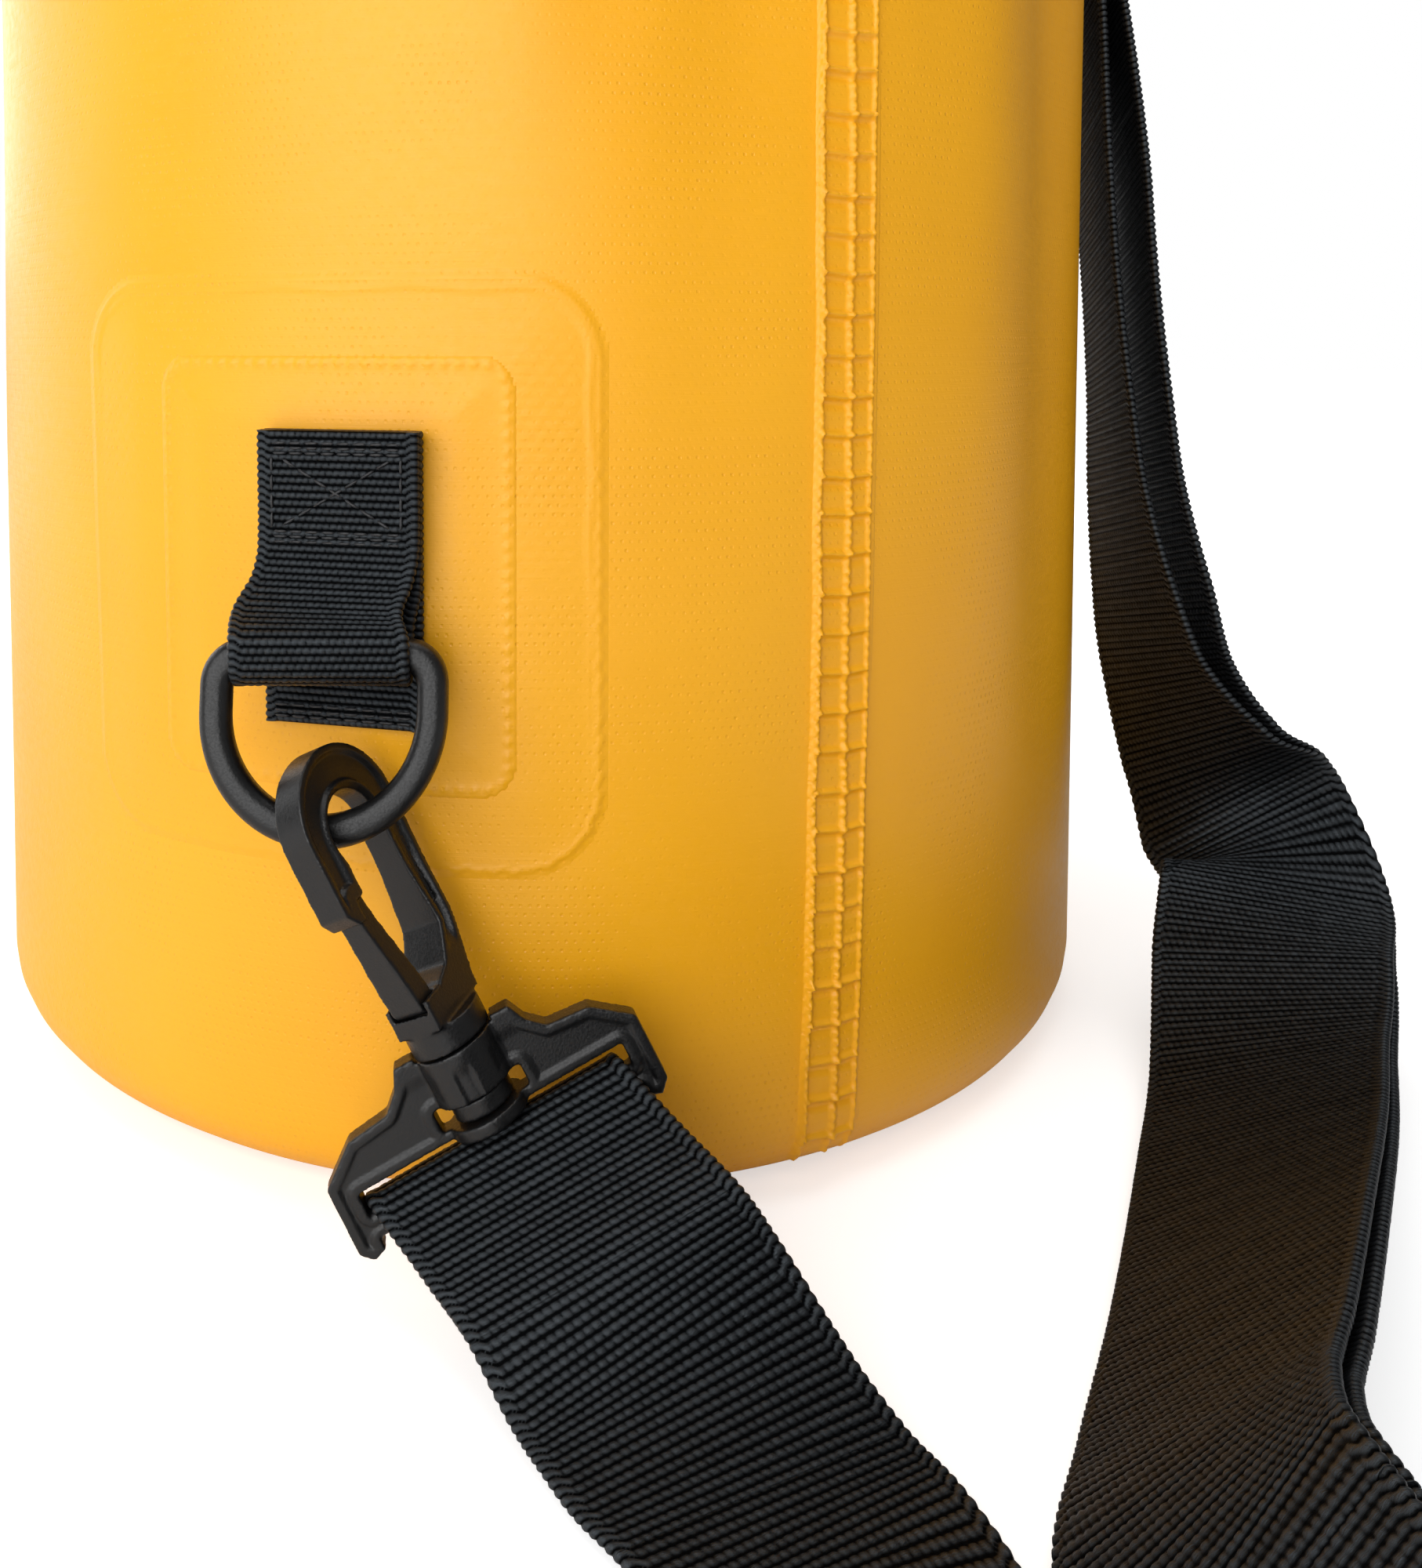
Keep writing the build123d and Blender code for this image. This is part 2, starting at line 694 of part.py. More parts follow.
def strap_eye(tail_length, parted):
    """Profile of webbing round the yoke's bar, with x along the pull of the strap.

    parted keeps the two legs as separate layers; otherwise they are sewn face to face.
    """
    outer_radius = eye_inner_radius + strap_thickness
    half_tail = (layer_pitch + strap_thickness) / 2 if parted else strap_thickness
    close_x = 3 * eye_inner_radius
    outer = outline_face(
        [
            (0, outer_radius),
            (close_x, half_tail),
            (tail_length, half_tail),
            (tail_length, -half_tail),
            (close_x, -half_tail),
            (0, -outer_radius),
        ]
    )
    hole = Circle(eye_inner_radius)
    if parted:
        slit = (layer_pitch - strap_thickness) / 2
        reach = tail_length + 1
        hole += outline_face(
            [
                (0, eye_inner_radius),
                (close_x, slit),
                (reach, slit),
                (reach, -slit),
                (close_x, -slit),
                (0, -eye_inner_radius),
            ]
        )
    else:
        hole += outline_face([(0, eye_inner_radius), (close_x - 1, 0), (0, -eye_inner_radius)])
    return outer + Circle(outer_radius) - hole


class StrapEnd:
    """Webbing wrapped round a yoke's bar and pulled in a direction."""

    def __init__(self, yoke_plane, pull, parted):
        self.across = yoke_plane.x_dir
        self.along = square_to(self.across, pull)
        bar = (yoke_slot_end + yoke_bar_end) / 2
        self.bar_centre = yoke_plane.from_local_coords(Vector(0, 0, bar))
        self.end = self.bar_centre + self.along * sewn_end_length
        self.parted = parted

    def solid(self):
        plane = Plane(origin=self.bar_centre, x_dir=self.along, z_dir=self.across)
        profile = plane * strap_eye(sewn_end_length, self.parted)
        return extrude(profile, amount=strap_width / 2, both=True)


class HookSet:
    """One ring with its swivel hook and yoke, placed on the bag."""

    def __init__(self, bar_centre, bar_direction, tilt, along_ring, eye_drop, axis, nose, yoke):
        outward = bar_direction.cross(Vector(0, 0, 1))
        down = outward * sin(radians(tilt)) - Vector(0, 0, 1) * cos(radians(tilt))
        self.ring_plane = Plane(origin=bar_centre, x_dir=bar_direction, z_dir=down)
        tube_radius = (ring_inner_width + ring_bar) / 2
        drop = ring_drop - tube_radius + sqrt(tube_radius**2 - along_ring**2)
        self.tube_point = self.ring_plane.from_local_coords(Vector(along_ring, 0, drop))
        top = self.tube_point - axis * eye_drop
        self.hook_plane = Plane(origin=top, x_dir=square_to(axis, nose), z_dir=axis)
        self.yoke_plane = Plane(origin=top, x_dir=square_to(axis, yoke), z_dir=axis)

    def nodes(self, name):
        return {
            name + "_ring": self.ring_plane * ring_local(),
            name + "_hook": self.hook_plane * hook_local(),
            name + "_gate": self.hook_plane * gate_local(),
            name + "_yoke": self.yoke_plane * yoke_local(),
        }


# ---------------------------------------------------------------- shoulder strap
def banked_edge(heading, bank):
    """Direction of the right-hand edge of strap that runs along a heading, banked up."""
    right = Vector(heading[1], -heading[0], 0).normalized()
    return right * cos(radians(bank)) + Vector(0, 0, sin(radians(bank)))


def floor_station(x, y, heading, bank, layers, lift=0.0):
    """Centre and edge direction of strap on or just over the floor, its right-hand edge banked up."""
    half_stack = (layer_pitch * (layers - 1) + strap_thickness) / 2
    z = abs(sin(radians(bank))) * strap_width / 2 + cos(radians(bank)) * half_stack + floor_gap + lift
    return (Vector(x, y, z), banked_edge(heading, bank))


def floor_run_stations():
    """Single layer along the floor, round the hairpin and back to the tri-glide."""
    leg_x, turn_y = hairpin_start
    radius = (glide_centre[0] - leg_x) / 2
    stations = [
        floor_station(20.0, front - 50.0, (0.58, -0.81), -3, 1, landing_lift),
        floor_station(24.6, front - 58.0, (0.42, -0.91), 2, 1),
        floor_station(27.6, front - 70.0, (0.18, -0.98), 9, 1),
        floor_station(leg_x, front - 87.0, (0.03, -1.0), 20, 1),
        floor_station(leg_x, front - 107.0, (0, -1), 35, 1),
        floor_station(leg_x, front - 127.0, (0, -1), 50, 1),
        floor_station(leg_x, front - 150.0, (0, -1), 66, 1),
        floor_station(leg_x, turn_y, (0, -1), hairpin_bank, 1),
    ]
    for step in range(1, 9):
        angle = radians(180 + 22.5 * step)
        x = leg_x + radius + radius * cos(angle)
        y = turn_y + radius * sin(angle)
        stations.append(floor_station(x, y, (-sin(angle), cos(angle)), hairpin_bank, 1))
    glide_x, glide_y = glide_centre
    stations.append(floor_station(glide_x, glide_y - 2 * glide_reach, (0, 1), 70, 1, glide_lift / 3))
    weave_start, edge = weave_stations()[0]
    stations.append((weave_start - Vector(0, glide_reach / 4, 0), edge))
    stations.append((weave_start, edge))
    return stations


def riser_stations():
    """Doubled strap from the tri-glide along the floor, then up the right side of the bag.

    The last rows start with how far out they stand from the bag wall.
    """
    glide_x, glide_y = glide_centre
    still_y = glide_y + glide_still
    stations = [
        floor_station(glide_x, still_y, (0, 1), glide_bank, 2, glide_lift),
        floor_station(glide_x, still_y + 3, (0, 1), glide_bank, 2, glide_lift),
        floor_station(glide_x + 0.6, front - 73.0, (0.15, 1), 53, 2, 0.9 * glide_lift),
        floor_station(64.2, front - 64.0, (0.42, 0.9), 50, 2, 0.6 * glide_lift),
        floor_station(73.8, front - 50.0, (0.51, 0.86), 46, 2, 0.2 * glide_lift),
        floor_station(85.5, front - 30.5, (0.49, 0.87), 42, 2),
        floor_station(103.0, front + 2.0, (0.48, 0.88), 32, 2),
    ]
    ramp = [
        (7.5, -84.0, 12.4, (0.5, 0.87), 26),
        (15.8, -67.5, 17.7, (0.42, 0.91), 17),
        (23.8, -48.0, 25.6, (0.2, 0.98), 8),
    ]
    for out, y, z, heading, bank in ramp:
        stations.append((Vector(bag_radius + out, y, z), banked_edge(heading, bank)))
    upright = [
        (18.2, -41.0, 37.0, 38),
        (12.2, -37.0, 52.0, 52),
        (8.8, -31.8, 77.0, 66),
        (7.2, -27.5, 97.0, 74),
        (5.6, -22.0, 132.0, 88),
        (5.9, -16.0, 165.0, 95),
        (6.3, -10.0, 192.0, 98),
    ]
    for out, y, z, twist in upright:
        edge = Vector(cos(radians(twist)), -sin(radians(twist)), 0)
        stations.append((Vector(bag_radius + out, y, z), edge))
    return stations


def joining_stations(start, start_along, end, end_along, arch=0.0):
    """Smooth run of stations between two (centre, edge) ends that leave in the given directions.

    arch lifts the middle of the run.
    """
    lead = 1.5
    first = start[0] + start_along * lead
    last = end[0] - end_along * lead
    pull = (last - first).length
    stations = [start]
    for share in (0, 0.25, 0.5, 0.75, 1):
        near = first + start_along * pull * share / 3
        far = last - end_along * pull * (1 - share) / 3
        blend = share * share * (3 - 2 * share)
        centre = near * (1 - blend) + far * blend + Vector(0, 0, 4 * arch * share * (1 - share))
        stations.append((centre, start[1] * (1 - blend) + end[1] * blend))
    return stations + [end]


def direction_at_start(stations):
    return (stations[1][0] - stations[0][0]).normalized()


def direction_at_end(stations):
    return (stations[-1][0] - stations[-2][0]).normalized()


# ---------------------------------------------------------------- tri-glide
glide_still = glide_reach + glide_travel + glide_spare
glide_eye_radius = glide_centre_bar / 2 + bar_clearance + 0.2
glide_eye_outer = glide_eye_radius + strap_thickness
weave_under = glide_thickness / 2 + soft_clearance + strap_thickness / 2
weave_over = glide_eye_outer + soft_clearance + strap_thickness


def glide_plane():
    """Frame of the tri-glide: x up its banked width, y through it towards the floor, z along the strap."""
    x, y = glide_centre
    centre, edge = floor_station(x, y, (0, 1), glide_bank, 2, glide_lift)
    inner = edge.cross(Vector(0, 1, 0))
    lift = weave_under + layer_pitch / 2
    return Plane(origin=centre + inner * lift, x_dir=edge, z_dir=(0, 1, 0))


def tri_glide():
    half_length = glide_end_bar + glide_slot + glide_centre_bar / 2
    plate = Box(glide_width, glide_thickness, 2 * half_length)
    plate = fillet(plate.edges().filter_by(Axis.Y), 3.0)
    for side in (-1, 1):
        centre = side * (glide_centre_bar + glide_slot) / 2
        plate -= Pos(0, 0, centre) * Box(strap_width + 1.6, 2 * glide_thickness, glide_slot)
    return glide_plane() * plate


def glide_stations(profile):
    """Stations from pairs of distance along the strap and depth through the glide."""
    frame = glide_plane()
    return [(frame.from_local_coords(Vector(0, out, along)), frame.x_dir) for along, out in profile]


def weave_stations():
    """The strap under one end bar, over the middle bar and under the other."""
    slot_end = glide_slot + glide_centre_bar / 2
    half = [
        (glide_reach, weave_under),
        (slot_end - 0.4, weave_under),
        (glide_eye_outer + 1.15, -glide_eye_outer / 2 - 0.1),
        (glide_eye_outer - 1.05, 0.5 - weave_over),
    ]
    profile = [(-along, out) for along, out in half] + [(0, -weave_over)] + half[::-1]
    return glide_stations(profile + [(glide_still, weave_under)])


def glide_strap_end():
    """Sewn eye of the free end round the middle bar, and its tail leaving below the woven strap."""
    reach = glide_reach
    deep = weave_under + layer_pitch
    half = strap_thickness / 2
    slot_end = glide_slot + glide_centre_bar / 2
    eye = Circle(glide_eye_outer) + outline_face(
        [
            (0, glide_eye_outer),
            (slot_end, deep + half),
            (reach, deep + half),
            (reach, deep - half),
            (slot_end, deep - half),
            (1.2, 2.6),
        ]
    )
    eye -= Circle(glide_eye_radius)
    frame = glide_plane()
    turned = Plane(origin=frame.origin, x_dir=frame.z_dir, z_dir=-frame.x_dir)
    return extrude(turned * eye, amount=strap_width / 2, both=True)


def glide_return_run():
    """Outer layer between the sewn tail and the part of the strap that stays still."""
    deep = weave_under + layer_pitch
    ends = [(glide_reach, deep), (glide_still, deep)]
    return ribbon(glide_stations(ends), strap_width, strap_thickness)


# ---------------------------------------------------------------- whole bag
def bag_nodes():
    return {
        "bag_wall": bag_wall(),
        "base_panel": base_panel(),
        "side_seam": side_seam(),
        "outer_patch": outer_patch(),
        "inner_patch": inner_patch(),
        "loop_backing": loop_backing(),
        "ring_loop": ring_loop(),
        "loop_stitching": loop_stitching(),
        "mouth_roll": mouth_roll(),
        "mouth_stiffener": mouth_stiffener(),
        "closure_tab_left": closure_tab(-1),
        "closure_tab_right": closure_tab(1),
        "upper_loop": upper_loop(),
    }


def buckle_nodes():
    return {
        "buckle_female": buckle_female(),
        "buckle_male": buckle_male(),
        "latch_front": latch_arm(-1),
        "latch_back": latch_arm(1),
    }


def strap_nodes(lower_set, upper_set):
    """Strap pieces. The runs beside the yokes and the tri-glide bend when those move; the others lie still."""
    lower_end = StrapEnd(lower_set.yoke_plane, lower_strap_direction, False)
    upper_end = StrapEnd(upper_set.yoke_plane, upper_strap_direction, True)
    floor_run = floor_run_stations()
    riser = riser_stations()
    half_pitch = layer_pitch / 2
    lower_start = (lower_end.end, -lower_end.across)
    to_floor = joining_stations(
        lower_start, lower_end.along, floor_run[0], direction_at_start(floor_run), landing_arch
    )
    to_yoke = joining_stations(
        riser[-1], direction_at_end(riser), (upper_end.end, upper_end.across), -upper_end.along
    )
    lower = to_floor[:-1] + floor_run
    lower_split = len(to_floor) - 1 + floor_bend_count
    upper = riser[:-1] + to_yoke
    upper_split = len(riser) - riser_bend_count
    size = (strap_width, strap_thickness)
    return {
        "lower_strap_end": lower_end.solid(),
        "lower_strap_run": ribbon(lower, *size, last=lower_split),
        "strap_floor_run": ribbon(lower, *size, first=lower_split),
        "glide_strap_run": ribbon(weave_stations(), *size),
        "tri_glide": tri_glide(),
        "glide_strap_end": glide_strap_end(),
        "glide_return_run": glide_return_run(),
        "strap_inner_layer": ribbon(upper, *size, half_pitch, last=upper_split),
        "strap_outer_layer": ribbon(upper, *size, -half_pitch, last=upper_split),
        "upper_inner_run": ribbon(upper, *size, half_pitch, first=upper_split),
        "upper_outer_run": ribbon(upper, *size, -half_pitch, first=upper_split),
        "upper_strap_loop": upper_end.solid(),
    }


def main():
    lower = HookSet(
        lower_bar_centre,
        Vector(1, 0, 0),
        lower_ring_tilt,
        lower_hook_along_ring,
        lower_eye_drop,
        lower_hook_axis,
        lower_nose_direction,
        lower_yoke_direction,
    )
    upper = HookSet(
        upper_bar_centre,
        Vector(0, 1, 0),
        upper_ring_tilt,
        0.0,
        upper_eye_drop,
        upper_hook_axis,
        upper_nose_direction,
        upper_yoke_direction,
    )
    nodes = bag_nodes() | lower.nodes("lower") | upper.nodes("upper")
    nodes |= buckle_nodes() | strap_nodes(lower, upper)
    os.makedirs("parts", exist_ok=True)
    for name, shape in nodes.items():
        shape.label = name
        export_step(shape, "parts/" + name + ".step")


main()
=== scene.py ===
"""Roll-top dry bag with a clip-on shoulder strap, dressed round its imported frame.

Sizes are in millimetres and become metres where meshes are made.
"""

from math import cos, pi, radians, sin, sqrt

import bpy
import numpy as np
from mathutils import Matrix, Vector
from mathutils.kdtree import KDTree

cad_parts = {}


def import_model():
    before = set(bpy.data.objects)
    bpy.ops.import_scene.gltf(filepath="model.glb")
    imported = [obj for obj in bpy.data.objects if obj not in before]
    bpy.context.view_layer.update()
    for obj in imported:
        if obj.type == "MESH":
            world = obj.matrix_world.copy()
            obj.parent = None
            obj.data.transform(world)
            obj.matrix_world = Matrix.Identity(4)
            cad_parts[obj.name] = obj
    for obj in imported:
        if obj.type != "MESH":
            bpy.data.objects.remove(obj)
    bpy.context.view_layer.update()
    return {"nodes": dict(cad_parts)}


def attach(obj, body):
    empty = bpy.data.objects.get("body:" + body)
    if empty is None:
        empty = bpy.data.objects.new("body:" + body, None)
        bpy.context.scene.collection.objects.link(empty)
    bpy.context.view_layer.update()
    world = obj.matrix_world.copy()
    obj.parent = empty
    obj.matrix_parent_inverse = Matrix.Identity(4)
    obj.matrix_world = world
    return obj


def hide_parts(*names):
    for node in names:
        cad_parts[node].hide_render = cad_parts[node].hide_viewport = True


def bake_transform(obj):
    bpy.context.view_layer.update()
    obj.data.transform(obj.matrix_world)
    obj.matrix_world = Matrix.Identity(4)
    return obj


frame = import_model()

MM = 0.001
BAG_RADIUS = 108.0
DOT_PITCH = 1.28


# ---- node trees
class Surface:
    """A material's node tree, with short calls that add a node and give back its output."""

    def __init__(self, name, roughness, specular=0.5):
        self.material = bpy.data.materials.new(name)
        self.material.use_nodes = True
        self.tree = self.material.node_tree
        self.shader = self.tree.nodes["Principled BSDF"]
        self.shader.inputs["Roughness"].default_value = roughness
        self.shader.inputs["Specular IOR Level"].default_value = specular

    def put(self, socket, value):
        if isinstance(value, bpy.types.NodeSocket):
            self.tree.links.new(value, socket)
        else:
            socket.default_value = value

    def add(self, kind, inputs, output=0, **settings):
        node = self.tree.nodes.new("ShaderNode" + kind)
        for key, value in settings.items():
            setattr(node, key, value)
        for key, value in inputs.items():
            self.put(node.inputs[key], value)
        return node.outputs[output]

    def attribute(self, name, output="Fac"):
        return self.add("Attribute", {}, output, attribute_name=name)

    def place(self):
        return self.add("TexCoord", {}, "Object")

    def math(self, operation, a, b=0.0):
        return self.add("Math", {0: a, 1: b}, operation=operation)

    def times(self, a, b):
        return self.math("MULTIPLY", a, b)

    def plus(self, a, b):
        return self.math("ADD", a, b)

    def scaled(self, vector, scale):
        return self.add("VectorMath", {0: vector, 1: scale}, operation="MULTIPLY")

    def noise(self, vector, scale, detail=2.0, roughness=0.5):
        inputs = {"Vector": vector, "Scale": scale, "Detail": detail, "Roughness": roughness}
        return self.add("TexNoise", inputs)

    def spread(self, value, low, high, start=0.0, end=1.0):
        inputs = {"Value": value, "From Min": low, "From Max": high, "To Min": start, "To Max": end}
        return self.add("MapRange", inputs, interpolation_type="SMOOTHSTEP")

    def mix(self, share, a, b):
        node = self.tree.nodes.new("ShaderNodeMix")
        node.data_type = "RGBA"
        self.put(node.inputs["Factor"], share)
        self.put(node.inputs[6], a)
        self.put(node.inputs[7], b)
        return node.outputs[2]

    def bump(self, height, distance, strength):
        return self.add("Bump", {"Height": height, "Distance": distance * MM, "Strength": strength})

    def finish(self, colour, roughness=None, normal=None):
        self.put(self.shader.inputs["Base Color"], colour)
        if roughness is not None:
            self.put(self.shader.inputs["Roughness"], roughness)
        if normal is not None:
            self.put(self.shader.inputs["Normal"], normal)
        return self.material


def srgb(red, green, blue):
    """Linear colour of display values from 0 to 255."""
    channels = [value / 255 for value in (red, green, blue)]
    linear = [c / 12.92 if c <= 0.04045 else ((c + 0.055) / 1.055) ** 2.4 for c in channels]
    return (*linear, 1.0)


def tarpaulin():
    """Coated polyester sheet: satin face with the woven base showing as rows of small dots."""
    s = Surface("tarpaulin", 0.42, 0.55)
    cloth = s.attribute("cloth", "Vector")
    parts = s.tree.nodes.new("ShaderNodeSeparateXYZ")
    s.put(parts.inputs[0], cloth)
    across, up = parts.outputs[0], parts.outputs[1]
    odd_row = s.math("PINGPONG", s.math("FLOOR", s.math("DIVIDE", up, DOT_PITCH)), 1.0)
    shifted = s.plus(across, s.times(odd_row, DOT_PITCH / 2))
    wave_across = s.math("COSINE", s.times(shifted, 2 * pi / DOT_PITCH))
    wave_up = s.math("COSINE", s.times(s.math("SUBTRACT", up, DOT_PITCH / 2), 2 * pi / DOT_PITCH))
    dots = s.times(s.spread(wave_across, 0.25, 1.0), s.spread(wave_up, 0.1, 1.0))
    patchy = s.spread(s.noise(cloth, 0.045, 2.0), 0.38, 0.62, 0.25, 1.0)
    single = s.spread(s.noise(s.scaled(cloth, (0.7, 0.9, 1.0)), 1.0, 0.0), 0.3, 0.7, 0.3, 1.0)
    weave = s.times(dots, s.times(patchy, single))
    threads = s.times(s.noise(s.scaled(cloth, (0.25, 4.0, 1.0)), 1.0, 2.0), 0.35)
    grain = s.times(s.noise(cloth, 9.0, 3.0), 0.18)
    normal = s.bump(s.plus(s.plus(s.times(weave, -1.0), threads), grain), 0.075, 0.8)
    cloudy = s.noise(cloth, 0.02, 3.0)
    colour = s.mix(s.spread(cloudy, 0.3, 0.7), srgb(251, 175, 8), srgb(253, 179, 14))
    colour = s.mix(s.times(weave, 0.22), colour, srgb(238, 150, 8))
    roughness = s.spread(s.noise(cloth, 0.6, 3.0), 0.3, 0.7, 0.38, 0.47)
    return s.finish(colour, roughness, normal)


def webbing_cloth():
    """Black polypropylene webbing with fine filaments along each yarn; painted shade makes it near black between
    its ribs.
    """
    s = Surface("webbing", 0.4, 0.4)
    cloth = s.attribute("cloth", "Vector")
    relief = s.attribute("relief")
    filaments = s.noise(s.scaled(cloth, (1.6, 7.0, 1.0)), 1.0, 3.0, 0.6)
    # Painted shade: the colour goes near black in the weave's valleys and lighter on the ribs, following the relief
    # height.
    tone = s.mix(s.spread(relief, 0.25, 0.95), srgb(2, 2, 2), srgb(25, 25, 26))
    colour = s.mix(s.spread(filaments, 0.3, 0.75, 0.0, 0.4), tone, srgb(12, 12, 13))
    roughness = s.spread(filaments, 0.3, 0.7, 0.34, 0.52)
    # Painted shade in the reflection too: the valleys reflect almost nothing and the ribs reflect fully.
    s.put(s.shader.inputs["Specular IOR Level"], s.spread(relief, 0.3, 0.95, 0.02, 0.6))
    # Bluish specular tint, set against the orange light the bag reflects onto the strap: painted reflection colour,
    # not the nylon's own.
    s.shader.inputs["Specular Tint"].default_value = (0.78, 0.9, 1.0, 1.0)
    return s.finish(colour, roughness, s.bump(filaments, 0.12, 0.9))


def moulded_plastic(name, tone, sheen):
    """Grained black nylon or acetal: fine spark-eroded texture, slightly rubbed on high places."""
    s = Surface(name, sheen, 0.5)
    place = s.place()
    grain = s.noise(place, 3600.0, 3.0, 0.6)
    cells = s.add("TexVoronoi", {"Vector": place, "Scale": 2600.0})
    rubbed = s.spread(s.noise(place, 130.0, 4.0), 0.45, 0.75, 0.0, 0.5)
    height = s.plus(s.times(grain, 0.7), s.times(cells, 0.5))
    colour = s.mix(rubbed, srgb(tone, tone, tone + 1), srgb(tone + 7, tone + 7, tone + 7))
    roughness = s.spread(grain, 0.35, 0.65, sheen - 0.06, sheen + 0.1)
    return s.finish(colour, roughness, s.bump(height, 0.05, 0.6))


def thread_material():
    s = Surface("thread", 0.45, 0.5)
    place = s.place()
    strands = s.noise(s.scaled(place, (1.0, 1.0, 2.2)), 2400.0, 2.0)
    colour = s.mix(s.spread(strands, 0.35, 0.65), srgb(12, 12, 13), srgb(40, 40, 42))
    return s.finish(colour, None, s.bump(strands, 0.06, 0.8))


TARPAULIN = tarpaulin()
WEBBING = webbing_cloth()
PLASTIC = moulded_plastic("hard_plastic", 11, 0.36)
STIFFENER = moulded_plastic("stiffener_strip", 60, 0.5)
THREAD = thread_material()


# ---- mesh helpers
def piece(name, points, faces, material, cloth=None, relief=None):
    """A smooth mesh object from points in millimetres, with its own cloth coordinates."""
    mesh = bpy.data.meshes.new(name)
    mesh.from_pydata((np.asarray(points, float) * MM).tolist(), [], faces)
    if cloth is not None:
        layer = mesh.attributes.new("cloth", "FLOAT_VECTOR", "POINT")
        flat = np.zeros((len(points), 3), np.float32)
        flat[:, : cloth.shape[1]] = cloth
        layer.data.foreach_set("vector", flat.ravel())
    if relief is not None:
        layer = mesh.attributes.new("relief", "FLOAT", "POINT")
        layer.data.foreach_set("value", np.asarray(relief, np.float32).ravel())
    mesh.polygons.foreach_set("use_smooth", [True] * len(mesh.polygons))
    mesh.update()
    obj = bpy.data.objects.new(name, mesh)
    bpy.context.collection.objects.link(obj)
    mesh.materials.append(material)
    return obj


def grid_faces(rows, columns, ring=False, start=0):
    """Quads between the points of a grid; ring joins the last column to the first."""
    down = np.arange(rows - 1)[:, None] * columns + start
    here = np.arange(columns if ring else columns - 1)[None, :]
    beside = (here + 1) % columns
    corners = [down + here, down + beside, down + beside + columns, down + here + columns]
    return np.stack(corners, -1).reshape(-1, 4).tolist()


def unit(vectors):
    return vectors / np.maximum(np.linalg.norm(vectors, axis=-1, keepdims=True), 1e-9)


def cubic(knots, values, at):
    """Smooth curve through values given at knots."""
    gaps = np.diff(knots)[:, None]
    rates = np.diff(values, axis=0) / gaps
    slopes = np.concatenate([rates[:1], rates[:-1], rates[-1:]])
    slopes[1:-1] = (rates[:-1] * gaps[1:] + rates[1:] * gaps[:-1]) / (gaps[1:] + gaps[:-1])
    i = np.clip(np.searchsorted(knots, at, side="right") - 1, 0, len(knots) - 2)
    h = gaps[i]
    u = (at - knots[i])[:, None] / h
    near = values[i] * (1 + 2 * u) * (1 - u) ** 2 + slopes[i] * h * u * (1 - u) ** 2
    far = values[i + 1] * u**2 * (3 - 2 * u) - slopes[i + 1] * h * u**2 * (1 - u)
    return near + far


def smooth_share(value, low, high):
    share = np.clip((value - low) / (high - low), 0, 1)
    return share * share * (3 - 2 * share)


# ---- webbing
RIB_PITCH, YARN_WIDTH, RIB_DEPTH = 1.2, 1.15, 0.42
NARROW_RIB_PITCH, NARROW_YARN_WIDTH = 1.05, 1.0
SELVEDGE_BULGE = 0.3
DRAWS = 4096


class Run:
    """A strap's path: even steps along a smooth line through stations of (centre, edge direction)."""

    def __init__(self, stations, step, sheared=False):
        centres = np.array([list(c) for c, _ in stations], float)
        edges = np.array([list(e) for _, e in stations], float)
        chords = np.linalg.norm(np.diff(centres, axis=0), axis=1)
        knots = np.concatenate([[0], np.cumsum(chords)])
        fine = np.linspace(0, knots[-1], int(knots[-1] * 5) + 2)
        steps = np.linalg.norm(np.diff(cubic(knots, centres, fine), axis=0), axis=1)
        lengths = np.concatenate([[0], np.cumsum(steps)])
        count = int(round(lengths[-1] / step)) + 1
        self.at = np.linspace(0, lengths[-1], count)
        where = np.interp(self.at, lengths, fine)
        self.centre = cubic(knots, centres, where)
        self.along = unit(np.gradient(self.centre, axis=0))
        edge = cubic(knots, edges, where)
        if not sheared:
            edge = edge - self.along * np.sum(edge * self.along, axis=1, keepdims=True)
        self.across = unit(edge)
        self.inner = unit(np.cross(self.across, self.along))

    def row(self, test):
        """First row where the test on centres holds."""
        return int(np.argmax(test(self.centre)))


def rib_height(along, across, pitch, yarn, half_width, seed):
    """Weave of the webbing from 0 in the valleys to 1 on the yarns, with looped selvedges."""
    from_edge = half_width - np.abs(across)
    selvedge = 1 - smooth_share(from_edge, 0.5, 1.6)
    shifted = along + 0.55 * pitch * selvedge
    rib = shifted / pitch
    number = np.floor(rib)
    local = rib - number
    profile = np.abs(np.sin(pi * local)) ** 0.6
    count = number.astype(int)
    table = np.random.default_rng(seed).uniform(-1, 1, (2, DRAWS))
    uneven = table[0][count % DRAWS]
    slant = 0.32 * (local - 0.5)
    knot = across / yarn + slant + 0.5 * number
    each = table[1][(np.floor(knot).astype(int) * 7 + count * 131) % DRAWS]
    knuckle = np.abs(np.sin(pi * knot)) ** 0.6
    plain = profile * (0.42 + 0.52 * knuckle) + 0.07 * each * profile
    looped = np.abs(np.sin(pi * local)) ** 0.7
    return (plain * (1 - selvedge) + looped * selvedge) * (1 + 0.05 * uneven)


